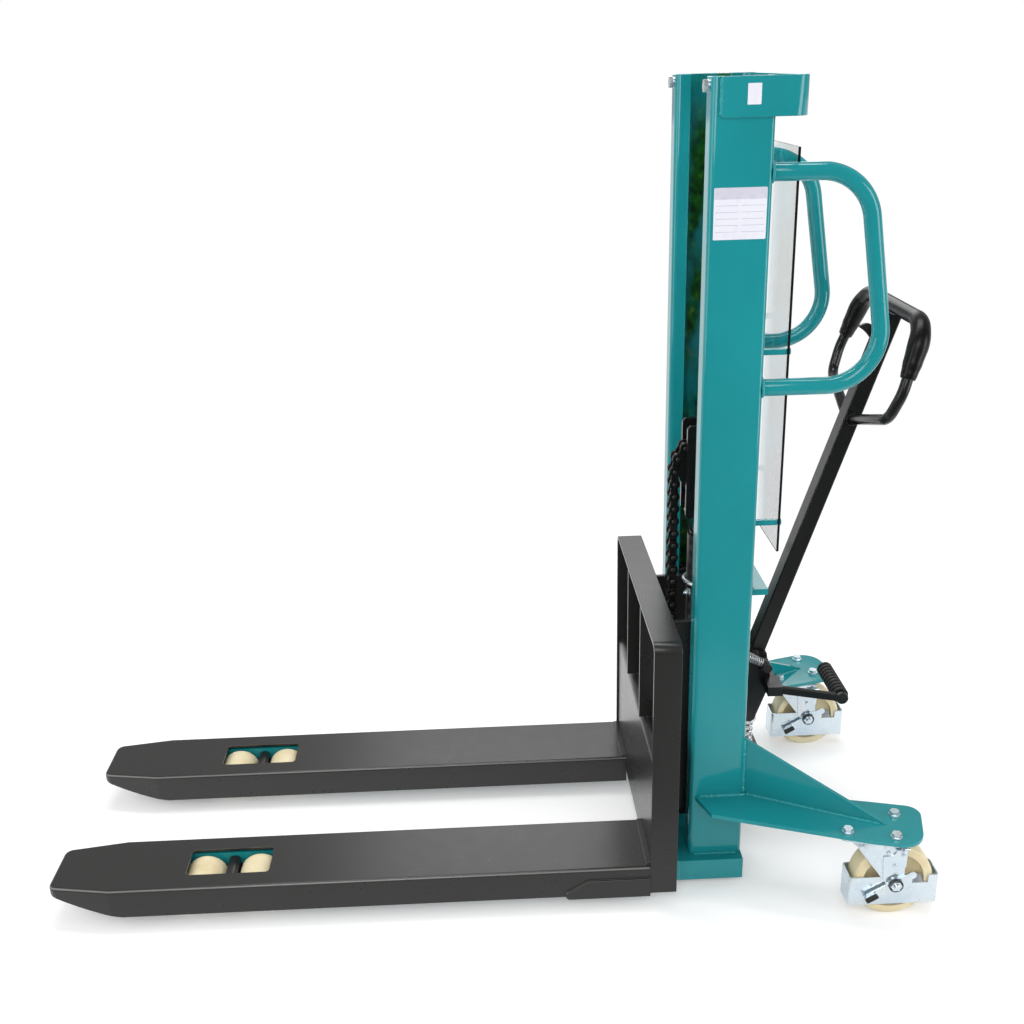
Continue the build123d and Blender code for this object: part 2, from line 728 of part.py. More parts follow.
# Bolts: four over each castor plate and one stop bolt in the front of each channel
with BuildPart() as frame_bolts:
    with BuildSketch(castor_seat):
        with GridLocations(bolt_pitch_long, bolt_pitch_wide, 2, 2):
            Circle(bolt_diameter / 2)
    extrude(amount=outrigger_top + washer_thickness - castor_plate_bottom)
    with BuildSketch(castor_seat.offset(outrigger_top - castor_plate_bottom)):
        with GridLocations(bolt_pitch_long, bolt_pitch_wide, 2, 2):
            Circle(washer_diameter / 2)
    extrude(amount=washer_thickness)
    with BuildSketch(castor_seat.offset(outrigger_top - castor_plate_bottom + washer_thickness)):
        with GridLocations(bolt_pitch_long, bolt_pitch_wide, 2, 2):
            RegularPolygon(bolt_across / 2, 6, major_radius=False)
    extrude(amount=bolt_head)
    stop_seat = Plane(origin=(mast_front, -channel_middle, mast_top - stop_bolt_drop), x_dir=(0, 1, 0),
                      z_dir=(-1, 0, 0))
    with BuildSketch(stop_seat):
        Circle(washer_diameter / 2)
    extrude(amount=washer_thickness)
    with BuildSketch(stop_seat.offset(washer_thickness)):
        RegularPolygon(stop_bolt_across / 2, 6, major_radius=False)
    extrude(amount=bolt_head)
    mirror(about=Plane.XZ)
save(frame_bolts, "frame_bolts")

# Castors: the same unit on both sides, with the brake lever on its left
race_top = crown_bottom + race_height
axle_half = leg_outside + brake_thickness + 2 * body_clearance
for side, hand in ((-1, "left"), (1, "right")):
    centre = side * castor_y
    with BuildPart() as castor_fork:
        with BuildSketch(Plane((castor_x, centre, crown_bottom))):
            Circle(race_diameter / 2)
        extrude(amount=race_top - crown_bottom)
        chamfer(castor_fork.edges().filter_by(GeomType.CIRCLE).sort_by(Axis.Z)[-1], length=race_chamfer)
        block(castor_x - crown_front, wheel_x + castor_boss / 2, centre - leg_outside, centre + leg_outside,
              crown_bottom, crown_bottom + crown_height)
        for inner, outer in ((-leg_outside, -leg_inside), (leg_inside, leg_outside)):
            flat_plate([(castor_x - crown_front, crown_bottom), (wheel_x + castor_boss / 2, crown_bottom),
                        (wheel_x + castor_boss / 2, wheel_z), (wheel_x - castor_boss / 2, wheel_z)],
                       centre + inner, centre + outer)
            round_bar(wheel_x, wheel_z, castor_boss / 2, centre + inner, centre + outer)
        with BuildSketch(Plane((castor_x, centre, 0))):
            Circle(kingpin_diameter / 2 + running_clearance)
        extrude(amount=mast_top, mode=Mode.SUBTRACT)
        round_bar(wheel_x, wheel_z, castor_axle_diameter / 2, centre - axle_half, centre + axle_half)
        for end in (-1, 1):
            with BuildSketch(side_plane(centre + end * axle_half)):
                with Locations((wheel_x, wheel_z)):
                    RegularPolygon(axle_head_across / 2, 6, major_radius=False)
            extrude(amount=-end * axle_head)
    save(castor_fork, f"castor_fork_{hand}")

    with BuildPart() as castor_wheel:
        round_bar(wheel_x, wheel_z, wheel_diameter / 2, centre - wheel_width / 2, centre + wheel_width / 2)
        chamfer(castor_wheel.edges().filter_by(GeomType.CIRCLE), length=wheel_clearance)
        for end in (-1, 1):
            with BuildSketch(side_plane(centre + end * wheel_width / 2)):
                with Locations((wheel_x, wheel_z)):
                    Circle(wheel_diameter / 2 - wheel_rim)
                    Circle(wheel_hub / 2, mode=Mode.SUBTRACT)
            extrude(amount=end * (wheel_width - wheel_web) / 2, mode=Mode.SUBTRACT)
        round_bar(wheel_x, wheel_z, castor_axle_diameter / 2 + running_clearance, centre - wheel_width,
                  centre + wheel_width, Mode.SUBTRACT)
    save(castor_wheel, f"castor_wheel_{hand}")

    with BuildPart() as castor_guard:
        with BuildSketch(Plane((wheel_x, centre, guard_bottom))):
            RectangleRounded(guard_length, guard_width, guard_corner)
            RectangleRounded(guard_length - 2 * guard_sheet, guard_width - 2 * guard_sheet,
                             guard_corner - guard_sheet, mode=Mode.SUBTRACT)
        extrude(amount=guard_height)
        notch_x = wheel_x + guard_notch_setback
        guard_top = guard_bottom + guard_height
        block(notch_x - guard_notch_length / 2, notch_x + guard_notch_length / 2, centre - guard_width,
              centre + guard_width, guard_top - guard_notch_depth, guard_top, Mode.SUBTRACT)
        round_bar(wheel_x, wheel_z, castor_axle_diameter / 2 + running_clearance, centre - guard_width,
                  centre + guard_width, Mode.SUBTRACT)
    save(castor_guard, f"castor_guard_{hand}")

    brake_inner = centre - leg_outside - body_clearance
    brake_plane = Plane(origin=(wheel_x, brake_inner, wheel_z),
                        x_dir=(cos(radians(brake_tilt)), 0, sin(radians(brake_tilt))), z_dir=(0, -1, 0))
    with BuildPart() as castor_brake:
        with BuildSketch(brake_plane):
            with Locations(((brake_rear_length - brake_front_length) / 2, 0)):
                SlotOverall(brake_front_length + brake_rear_length, brake_width)
            Circle(castor_axle_diameter / 2 + brake_width / 3)
            Circle(castor_axle_diameter / 2 + running_clearance, mode=Mode.SUBTRACT)
        extrude(amount=brake_thickness)
        with BuildSketch(brake_plane.offset(brake_thickness)):
            with Locations((brake_tip_length / 2 - brake_front_length, 0)):
                RectangleRounded(brake_tip_length, brake_width, brake_width / 3)
        extrude(amount=2 * brake_thickness)
    save(castor_brake, f"castor_brake_{hand}")

# Push handles: one bent tube behind each channel
handle_side = screen_width / 2 + handle_gap + handle_tube / 2
with BuildPart() as push_handles:
    with BuildLine(side_plane(-handle_side)) as handle_path:
        FilletPolyline((mast_rear, handle_upper), (mast_rear + handle_reach_upper, handle_upper),
                       (mast_rear + handle_reach_lower, handle_lower), (mast_rear, handle_lower),
                       radius=handle_bend)
    tube_along(handle_path, handle_tube / 2)
    mirror(about=Plane.XZ)
save(push_handles, "push_handles")

# Guard screen on four standoff bars with screws from behind
screen_x = mast_rear + screen_gap
standoff_y = screen_width / 2 - standoff_size / 2 - side_clearance
with BuildPart() as guard_screen:
    block(screen_x, screen_x + screen_sheet, -screen_width / 2, screen_width / 2, screen_bottom,
          mast_top - head_height - screen_head_gap)
save(guard_screen, "guard_screen")

with BuildPart() as guard_standoffs:
    lowest = screen_bottom + standoff_inset
    for height in (lowest, lowest + standoff_spacing):
        block(mast_rear, screen_x, -standoff_y - standoff_size / 2, -standoff_y + standoff_size / 2,
              height - standoff_size / 2, height + standoff_size / 2)
        with BuildSketch(Plane.YZ.offset(screen_x + screen_sheet)):
            with Locations((-standoff_y, height)):
                Circle(screw_head / 2)
        extrude(amount=screw_height)
    mirror(about=Plane.XZ)
save(guard_standoffs, "guard_standoffs")


# Lift cylinder: barrel with a floor, stepped gland, clamp, rod with piston
def turned(x, y, sections):
    """Stack of upright cylinders: pairs of a diameter and a height range."""
    for diameter, low, high, mode in sections:
        with BuildSketch(Plane((x, y, low))) as section:
            Circle(diameter / 2)
        extrude(section.sketch, amount=high - low, mode=mode)


with BuildPart() as cylinder_barrel:
    turned(mast_middle, 0, [(barrel_diameter, barrel_bottom, barrel_top, Mode.ADD),
                            (barrel_bore, barrel_bottom + barrel_floor, barrel_top, Mode.SUBTRACT)])
save(cylinder_barrel, "cylinder_barrel")

with BuildPart() as cylinder_gland:
    turned(mast_middle, 0, [(barrel_bore, barrel_top - gland_depth, barrel_top, Mode.ADD),
                            (gland_flange, barrel_top, barrel_top + gland_step, Mode.ADD),
                            (gland_neck, barrel_top, barrel_top + 2 * gland_step, Mode.ADD),
                            (rod_diameter + 2 * running_clearance, barrel_bottom, mast_top, Mode.SUBTRACT)])
save(cylinder_gland, "cylinder_gland")

with BuildPart() as piston_rod:
    piston_bottom = barrel_bottom + barrel_floor + side_clearance
    piston_diameter = barrel_bore - 2 * running_clearance
    turned(mast_middle, 0, [(rod_diameter, piston_bottom, crosshead_bottom, Mode.ADD),
                            (piston_diameter, piston_bottom, piston_bottom + piston_height, Mode.ADD)])
save(piston_rod, "piston_rod")

with BuildPart() as cylinder_clamp:
    with BuildLine(Plane.XY.offset(clamp_height)) as clamp_path:
        clamp_end = mast_rear + clamp_web_thickness + clamp_nut
        Line((clamp_end, clamp_radius), (mast_middle, clamp_radius))
        CenterArc((mast_middle, 0), clamp_radius, 90, 180)
        Line((mast_middle, -clamp_radius), (clamp_end, -clamp_radius))
    tube_along(clamp_path, clamp_wire / 2)
    with BuildSketch(Plane.YZ.offset(mast_rear + clamp_web_thickness)):
        with Locations((-clamp_radius, clamp_height), (clamp_radius, clamp_height)):
            RegularPolygon(clamp_nut / 2, 6, major_radius=False)
    extrude(amount=clamp_nut / 2)
save(cylinder_clamp, "cylinder_clamp")

# Crosshead: a clevis on the rod that carries the chain pulley
crosshead_top = crosshead_bottom + crosshead_height
crosshead_front = mast_middle - crosshead_depth / 2
crosshead_rear = mast_middle + crosshead_depth / 2
cheek_inner = crosshead_gap / 2
cheek_outer = cheek_inner + cheek_thickness
pulley_bore = pulley_pin_diameter / 2 + running_clearance
with BuildPart() as crosshead:
    for inner, outer in ((-cheek_outer, -cheek_inner), (cheek_inner, cheek_outer)):
        with BuildSketch(side_plane(inner)) as cheek:
            with Locations((mast_middle, crosshead_bottom)):
                Rectangle(crosshead_depth, crosshead_height, align=(Align.CENTER, Align.MIN))
            chamfer(cheek.vertices(), length=cheek_chamfer)
        extrude(amount=inner - outer)
    block(crosshead_front + cheek_chamfer, crosshead_rear - cheek_chamfer, -cheek_inner, cheek_inner,
          crosshead_bottom, crosshead_bottom + crosshead_foot)
    tie_height = crosshead_top - crosshead_tie / 2 - side_clearance
    round_bar(mast_middle, tie_height, crosshead_tie / 2, -cheek_inner, cheek_inner)
    round_bar(mast_middle, pulley_height, pulley_bore, -mast_half, mast_half, Mode.SUBTRACT)
save(crosshead, "crosshead")

with BuildPart() as pulley_pin:
    round_bar(mast_middle, pulley_height, pulley_pin_diameter / 2, -cheek_outer, cheek_outer)
save(pulley_pin, "pulley_pin")

with BuildPart() as chain_pulley:
    tread_radius = pulley_radius - chain_roller / 2 - body_clearance
    hub_half = cheek_inner - side_clearance
    round_bar(mast_middle, pulley_height, tread_radius, -pulley_width / 2, pulley_width / 2)
    round_bar(mast_middle, pulley_height, pulley_hub / 2, -hub_half, hub_half)
    round_bar(mast_middle, pulley_height, pulley_bore, -mast_half, mast_half, Mode.SUBTRACT)
save(chain_pulley, "chain_pulley")


# Lifting chain: alternate inner and outer links on rollers and pins
def lay_chain(joints, first_inner, pinned):
    """Chain through a row of joints in X and Z, with pins and rollers in the pinned ones."""
    places = []
    for start, end in zip(joints, joints[1:]):
        turn = degrees(atan2(end[1] - start[1], end[0] - start[0]))
        places.append(Location(((start[0] + end[0]) / 2, (start[1] + end[1]) / 2, 0), (0, 0, turn)))
    inner_places = places[0 if first_inner else 1::2]
    outer_places = places[1 if first_inner else 0::2]
    inner_face = link_inner_gap / 2
    outer_face = inner_face + link_plate + body_clearance
    for group, face in ((inner_places, inner_face), (outer_places, outer_face)):
        with BuildSketch(side_plane(-face)) as plates:
            with Locations(*group):
                Rectangle(chain_pitch, link_waist)
                with Locations((-chain_pitch / 2, 0), (chain_pitch / 2, 0)):
                    Circle(link_radius)
        extrude(plates.sketch, amount=link_plate)
    mirror(about=Plane.XZ)
    for radius, half in ((chain_roller / 2, inner_face), (chain_pin / 2, chain_pin_length / 2)):
        with BuildSketch(Plane.XZ) as rounds:
            with Locations(*pinned):
                Circle(radius)
        extrude(rounds.sketch, amount=half, both=True)


wrap_angles = [pi * step / wrap_links for step in range(wrap_links + 1)]
wrap_joints = [(mast_middle - pulley_radius * cos(angle), pulley_height + pulley_radius * sin(angle))
               for angle in wrap_angles]
with BuildPart() as chain_wrap:
    lay_chain(wrap_joints, True, wrap_joints)
save(chain_wrap, "chain_wrap")

for name, run_x, links, first_inner in (("chain_front_run", front_run_x, front_links, False),
                                        ("chain_back_run", back_run_x, back_links, True)):
    run_joints = [(run_x, pulley_height - chain_pitch * step) for step in range(links + 1)]
    with BuildPart() as chain_run:
        lay_chain(run_joints, first_inner, run_joints[1:])
        round_bar(run_x, pulley_height, chain_pin / 2 + running_clearance, -mast_half, mast_half,
                  Mode.SUBTRACT)
    save(chain_run, name)

with BuildPart() as chain_fixed_anchor:
    anchor_half = chain_pin_length / 2 + side_clearance + anchor_ear
    block(back_run_x - anchor_depth / 2, back_run_x + anchor_depth / 2, -anchor_half, anchor_half,
          shelf_top, shelf_top + anchor_base)
    chain_clevis(back_run_x, shelf_top + anchor_base, back_anchor_z)
save(chain_fixed_anchor, "chain_fixed_anchor")

# Hand pump: a casting round the cylinder foot with lugs for the rocker
lug_outer = lug_inner + lug_thickness
rocker_bore = rocker_pin_diameter / 2 + running_clearance
spring_side = lug_outer + return_spring_diameter / 2 + side_clearance
pedal_root_x = face_x + pedal_root_setback
return_x = pedal_root_x - return_pin_lead
return_pin_height = pedal_root_height + return_pin_rise
spring_up = Vector(-cos(radians(return_spring_angle)), 0, sin(radians(return_spring_angle)))
return_pin_point = Vector(return_x, -spring_side, return_pin_height)
return_foot = return_pin_point + spring_up * (return_pin_diameter / 2 + spring_seat_thickness)
return_head = return_foot + spring_up * return_spring_length
with BuildPart() as pump_body:
    pump_front = mast_middle - barrel_diameter / 2 - pump_front_wall
    block(pump_front, mast_rear, -pump_width / 2, pump_width / 2, base_top, pump_top)
    block(mast_rear, plunger_x + pump_rear_wall, -pump_width / 2, pump_width / 2,
          base_top + pump_foot_height, pump_top)
    fillet(pump_body.edges().filter_by(Axis.Z), radius=pump_corner)
    for inner, outer in ((-lug_outer, -lug_inner), (lug_inner, lug_outer)):
        block(rocker_x - lug_depth / 2, rocker_x + lug_depth / 2, inner, outer, pump_top, rocker_z)
        round_bar(rocker_x, rocker_z, lug_depth / 2, inner, outer)
    hook = return_head + spring_up * spring_seat_thickness
    flat_plate([(rocker_x - lug_depth / 2, rocker_z), (rocker_x, rocker_z),
                (hook.X + lug_thickness / 2, hook.Z), (hook.X - lug_thickness / 2, hook.Z)],
               -lug_outer, -lug_inner)
    round_bar(hook.X, hook.Z, lug_thickness / 2, -spring_side, -lug_inner)
    with BuildSketch(Plane(origin=return_head, z_dir=spring_up)):
        Circle(spring_seat_diameter / 2)
    extrude(amount=spring_seat_thickness)
    round_bar(rocker_x, rocker_z, rocker_bore, -mast_half, mast_half, Mode.SUBTRACT)
    barrel_hole = barrel_diameter + 2 * running_clearance
    turned(mast_middle, 0, [(barrel_hole, barrel_bottom, mast_top, Mode.SUBTRACT)])
    plunger_hole = plunger_diameter + 2 * running_clearance
    turned(plunger_x, 0, [(plunger_hole, pump_top - plunger_length, pump_top, Mode.SUBTRACT)])
save(pump_body, "pump_body")

with BuildPart() as rocker_pin:
    pin_half = lug_outer + washer_thickness
    round_bar(rocker_x, rocker_z, rocker_pin_diameter / 2, -pin_half, pin_half)
save(rocker_pin, "rocker_pin")

with BuildPart() as pump_plunger:
    turned(plunger_x, 0, [(plunger_diameter, cap_top - plunger_length, cap_top, Mode.ADD),
                          (cap_diameter, cap_bottom, cap_top, Mode.ADD)])
    fillet(pump_plunger.edges().filter_by(GeomType.CIRCLE).sort_by(Axis.Z)[-1], radius=side_clearance)
save(pump_plunger, "pump_plunger")


# Springs: one wire on biarcs of a quarter turn, with straight ends along the axis
elbow_turn = pi / 4
spring_elbow = 0.6
samples = 6


def biarc(start, start_way, end, end_way):
    """Two arcs that join two points and keep the direction at each."""
    span = end - start
    ways = start_way + end_way
    spread = 2 * (1 - start_way.dot(end_way))
    along = span.dot(ways)
    reach = (sqrt(along * along + spread * span.dot(span)) - along) / spread
    start_corner = start + start_way * reach
    end_corner = end - end_way * reach
    joint = (start_corner + end_corner) * 0.5
    TangentArc(start, joint, tangent=start_way)
    TangentArc(joint, end, tangent=end_corner - start_corner)


def coil_spring(name, foot, axis, radius, wire, turns, length):
    """Spring that stands on its foot and winds up along the axis."""
    sideways = Vector(0, 1, 0)
    across = sideways.cross(axis)
    elbow_rise = spring_elbow * radius
    coiled_angle = 2 * pi * turns - 2 * elbow_turn
    climb = (length - 2 * wire - 2 * elbow_rise) / coiled_angle
    quarters = round(coiled_angle / (pi / 2))

    def on_coil(angle, height):
        return foot + (across * cos(angle) + sideways * sin(angle)) * radius + axis * height

    def along_coil(angle):
        around = sideways * cos(angle) - across * sin(angle)
        return (around * radius + axis * climb).normalized()

    stations = [(on_coil(0, wire), axis)]
    for quarter in range(quarters + 1):
        wound = coiled_angle * quarter / quarters
        angle = elbow_turn + wound
        stations.append((on_coil(angle, wire + elbow_rise + climb * wound), along_coil(angle)))
    stations.append((on_coil(2 * pi * turns, length - wire), axis))
    with BuildPart() as spring:
        with BuildLine() as path:
            Line(stations[0][0] - axis * wire, stations[0][0])
            for (start, start_way), (end, end_way) in zip(stations, stations[1:]):
                biarc(start, start_way, end, end_way)
            Line(stations[-1][0], stations[-1][0] + axis * wire)
        tube_along(path, wire / 2)
    save(spring, name)
    points = [tuple(edge @ (step / samples)) for edge in path.edges() for step in range(samples)]
    half_turn = round(len(points) / turns / 2)
    gaps = [dist(point, other) - wire for place, point in enumerate(points)
            for other in points[place + half_turn:]]
    wire_volume = pi * wire ** 2 / 4 * sum(edge.length for edge in path.edges())
    volume_ratio = spring.part.volume / wire_volume
    print(name, "least gap", round(min(gaps), 2), "volume ratio", round(volume_ratio, 4))


plunger_spring_radius = (plunger_diameter + plunger_spring_wire) / 2 + side_clearance
coil_spring("plunger_spring", Vector(plunger_x, 0, pump_top), Vector(0, 0, 1), plunger_spring_radius,
            plunger_spring_wire, plunger_spring_turns, cap_bottom - pump_top)
coil_spring("return_spring", return_foot, spring_up, (return_spring_diameter - return_spring_wire) / 2,
            return_spring_wire, return_spring_turns, return_spring_length)

# Rocker: a cast arm with a nose over the plunger and a socket for the tiller bar
rocker_half = rocker_width / 2
with BuildPart() as tiller_rocker:
    socket_front = tiller_foot - rearward * (tiller_depth / 2 + tiller_wall)
    socket_rear = tiller_foot + rearward * (tiller_depth / 2 + tiller_wall)
    heel_z = pedal_root_height - pedal_root_depth / 2
    flat_plate([(rocker_x, rocker_z), (rocker_x, rocker_z + rocker_hub / 2),
                (socket_front.X, socket_front.Z), (socket_rear.X, socket_rear.Z),
                (pedal_root_x, pedal_root_height + pedal_root_depth / 2),
                (pedal_root_x + pedal_root_length / 2, pedal_root_height), (pedal_root_x, heel_z),
                (plunger_x + rocker_nose / 2, nose_z), (plunger_x, nose_z)], -rocker_half, rocker_half)
    round_bar(rocker_x, rocker_z, rocker_hub / 2, -lug_inner + side_clearance, lug_inner - side_clearance)
    round_bar(plunger_x, nose_z, rocker_nose / 2, -rocker_half, rocker_half)
    with BuildSketch(Plane(origin=tiller_foot - lean * tiller_socket, x_dir=rearward, z_dir=lean)):
        Rectangle(tiller_depth + 2 * fit_clearance, tiller_width + 2 * fit_clearance)
    extrude(amount=2 * tiller_socket, mode=Mode.SUBTRACT)
    round_bar(return_x, return_pin_height, return_pin_diameter / 2,
              -spring_side - spring_seat_diameter / 2, -rocker_half)
    with BuildSketch(Plane(origin=return_foot, z_dir=spring_up)):
        Circle(spring_seat_diameter / 2)
    extrude(amount=-2 * spring_seat_thickness)
    block(pedal_root_x - pedal_root_length / 2, pedal_root_x + pedal_root_length / 2,
          -pedal_arm_side - pedal_arm_thickness / 2, -rocker_half, heel_z, heel_z + pedal_root_depth)
    round_bar(rocker_x, rocker_z, rocker_bore, -mast_half, mast_half, Mode.SUBTRACT)
save(tiller_rocker, "tiller_rocker")

# Tiller bar: a rectangular tube, closed under the grip, with a front slot for the finger lever
bar_top = loop_top - grip_diameter / 2 - body_clearance
bar_face = -tiller_depth / 2
finger_pivot_x = bar_face + finger_pivot_inset
finger_pivot_height = loop_top - finger_pivot_drop
with BuildPart() as tiller_bar:
    with BuildSketch(Plane(origin=tiller_foot - lean * tiller_socket, x_dir=rearward, z_dir=lean)):
        RectangleRounded(tiller_depth, tiller_width, tiller_wall)
    extrude(amount=tiller_socket + bar_top)
    with BuildSketch(Plane(origin=tiller_foot - lean * tiller_socket, x_dir=rearward, z_dir=lean)):
        Rectangle(tiller_depth - 2 * tiller_wall, tiller_width - 2 * tiller_wall)
    extrude(amount=tiller_socket + bar_top - 2 * tiller_wall, mode=Mode.SUBTRACT)
    with BuildSketch(tiller_side):
        slot_foot = finger_pivot_height - finger_slot_drop
        slot_height = finger_slot_rise + finger_slot_drop
        with Locations((bar_face, slot_foot)):
            Rectangle(2 * (tiller_wall + overcut), slot_height, align=(Align.CENTER, Align.MIN))
    extrude(amount=finger_thickness / 2 + side_clearance, both=True, mode=Mode.SUBTRACT)
    with BuildSketch(tiller_side):
        with Locations((finger_pivot_x, finger_pivot_height)):
            Circle(finger_pin / 2 + running_clearance)
    extrude(amount=tiller_width, both=True, mode=Mode.SUBTRACT)
save(tiller_bar, "tiller_bar")

with BuildPart() as finger_lever:
    with BuildSketch(tiller_side):
        with BuildLine():
            eye_right = (finger_pivot_x + finger_eye / 2, finger_pivot_height)
            eye_foot = (finger_pivot_x, finger_pivot_height - finger_eye / 2)
            brow = (bar_face, finger_pivot_height + finger_brow_rise)
            crown = (bar_face - finger_crown_reach, finger_pivot_height + finger_crown_rise)
            tip = (bar_face - finger_reach, finger_pivot_height + finger_tip_rise)
            arch = (bar_face - finger_arch_reach, finger_pivot_height + finger_arch_rise)
            chin = (bar_face, finger_pivot_height + finger_chin_rise)
            Line(eye_right, brow)
            ThreePointArc(brow, crown, tip)
            ThreePointArc(tip, arch, chin)
            Polyline(chin, eye_foot, eye_right)
        make_face()
        with Locations((finger_pivot_x, finger_pivot_height)):
            Circle(finger_eye / 2)
    extrude(amount=finger_thickness / 2, both=True)
    with BuildSketch(tiller_side):
        with Locations((finger_pivot_x, finger_pivot_height)):
            Circle(finger_pin / 2)
    extrude(amount=tiller_width / 2, both=True)
save(finger_lever, "finger_lever")


# Hand loop: a bent tube on the sides of the bar, with a moulded grip round the top
def mirrored_points(half):
    """A half outline in Y and height, carried over to the other side."""
    return half + [(-y, height) for y, height in reversed(half)]


loop_root_half = tiller_width / 2 - tiller_wall
loop_points = mirrored_points([(loop_root_half, loop_top - loop_root_drop),
                               (loop_low_half, loop_top - loop_low_drop),
                               (loop_side_half, loop_top - loop_side_drop), (loop_top_half, loop_top)])
with BuildPart() as tiller_loop:
    with BuildLine(loop_plane) as loop_path:
        FilletPolyline(*loop_points, radius=[loop_low_bend, loop_side_bend, loop_top_bend, loop_top_bend,
                                             loop_side_bend, loop_low_bend])
    tube_along(loop_path, loop_tube / 2)
    with BuildSketch(Plane(origin=tiller_foot, x_dir=rearward, z_dir=lean)):
        Rectangle(tiller_depth, tiller_width)
    extrude(amount=bar_top, mode=Mode.SUBTRACT)
save(tiller_loop, "tiller_loop")

grip_end_height = loop_top - grip_drop
grip_fall = grip_drop / loop_side_drop
grip_end_half = loop_top_half + (loop_side_half - loop_top_half) * grip_fall
grip_points = mirrored_points([(grip_end_half, grip_end_height), (loop_top_half, loop_top)])
hand_taper = degrees(atan2((hand_diameter - grip_diameter) / 2, hand_length))
with BuildPart() as tiller_grip:
    with BuildLine(loop_plane) as grip_path:
        FilletPolyline(*grip_points, radius=loop_top_bend)
    tube_along(grip_path, grip_diameter / 2, loop_tube / 2 + running_clearance)
    for side in (-1, 1):
        foot = loop_plane.from_local_coords(Vector(side * grip_end_half, grip_end_height, 0))
        head = loop_plane.from_local_coords(Vector(side * loop_top_half, loop_top, 0))
        hand_plane = Plane(origin=foot, z_dir=head - foot)
        with BuildSketch(hand_plane):
            Circle(hand_diameter / 2)
        extrude(amount=hand_length, taper=hand_taper)
        with BuildSketch(hand_plane):
            Circle(loop_tube / 2 + running_clearance)
        extrude(amount=hand_length, mode=Mode.SUBTRACT)
save(tiller_grip, "tiller_grip")

# Foot pedal: an arm from the rocker with a cross rod and a ribbed sleeve
pedal_x = face_x + pedal_setback
pedal_z = pedal_height
with BuildPart() as pedal_lever:
    arm_outer = -pedal_arm_side - pedal_arm_thickness / 2
    arm_inner = -pedal_arm_side + pedal_arm_thickness / 2
    arm_half = pedal_arm_height / 2
    arm_root = pedal_root_x + pedal_root_length / 2
    flat_plate([(arm_root, pedal_root_height - arm_half), (arm_root, pedal_root_height + arm_half),
                (pedal_x, pedal_z + arm_half), (pedal_x, pedal_z - arm_half)], arm_outer, arm_inner)
    round_bar(pedal_x, pedal_z, pedal_rod * 2 / 3, arm_outer, arm_inner)
    round_bar(pedal_x, pedal_z, pedal_rod / 2, arm_outer, pedal_sleeve_length / 2)
save(pedal_lever, "pedal_lever")

with BuildPart() as pedal_sleeve:
    sleeve_half = pedal_sleeve_length / 2
    round_bar(pedal_x, pedal_z, pedal_sleeve_core / 2, -sleeve_half, sleeve_half)
    rib_pitch = (pedal_sleeve_length - pedal_rib_width) / (pedal_ribs - 1)
    for rib in range(pedal_ribs):
        rib_start = rib * rib_pitch - sleeve_half
        round_bar(pedal_x, pedal_z, pedal_sleeve_rib / 2, rib_start, rib_start + pedal_rib_width)
    round_bar(pedal_x, pedal_z, pedal_rod / 2 + running_clearance, -mast_half, mast_half, Mode.SUBTRACT)
save(pedal_sleeve, "pedal_sleeve")
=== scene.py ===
import json
from math import asin, ceil, cos, pi, radians, sin

import bmesh
import bpy
from mathutils import Matrix, Vector, noise


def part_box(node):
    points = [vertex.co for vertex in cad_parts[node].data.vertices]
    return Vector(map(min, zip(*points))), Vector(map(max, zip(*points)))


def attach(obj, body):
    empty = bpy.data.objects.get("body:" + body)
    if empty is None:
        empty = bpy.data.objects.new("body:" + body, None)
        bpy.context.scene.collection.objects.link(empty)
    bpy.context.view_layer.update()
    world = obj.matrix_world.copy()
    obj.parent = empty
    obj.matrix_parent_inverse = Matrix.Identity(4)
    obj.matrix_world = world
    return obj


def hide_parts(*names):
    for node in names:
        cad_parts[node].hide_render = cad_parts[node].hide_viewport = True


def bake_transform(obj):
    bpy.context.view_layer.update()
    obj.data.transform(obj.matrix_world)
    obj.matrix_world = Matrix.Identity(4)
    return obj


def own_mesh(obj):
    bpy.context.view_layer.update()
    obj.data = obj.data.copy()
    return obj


# Looks of the hand stacker, in metres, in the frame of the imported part
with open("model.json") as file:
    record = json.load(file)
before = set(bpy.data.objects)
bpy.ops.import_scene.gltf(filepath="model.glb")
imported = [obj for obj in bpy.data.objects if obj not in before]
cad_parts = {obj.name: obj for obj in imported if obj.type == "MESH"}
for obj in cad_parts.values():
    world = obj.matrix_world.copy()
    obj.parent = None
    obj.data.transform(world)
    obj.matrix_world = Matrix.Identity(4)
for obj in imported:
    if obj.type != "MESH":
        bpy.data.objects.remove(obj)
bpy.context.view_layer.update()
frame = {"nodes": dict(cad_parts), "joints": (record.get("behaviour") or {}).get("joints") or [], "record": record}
nodes = frame["nodes"]
record = frame["record"]
joint_named = {joint["name"]: joint for joint in frame["joints"]}
mount_named = {mount["name"]: mount for mount in record["mounts"]}
mm = 0.001


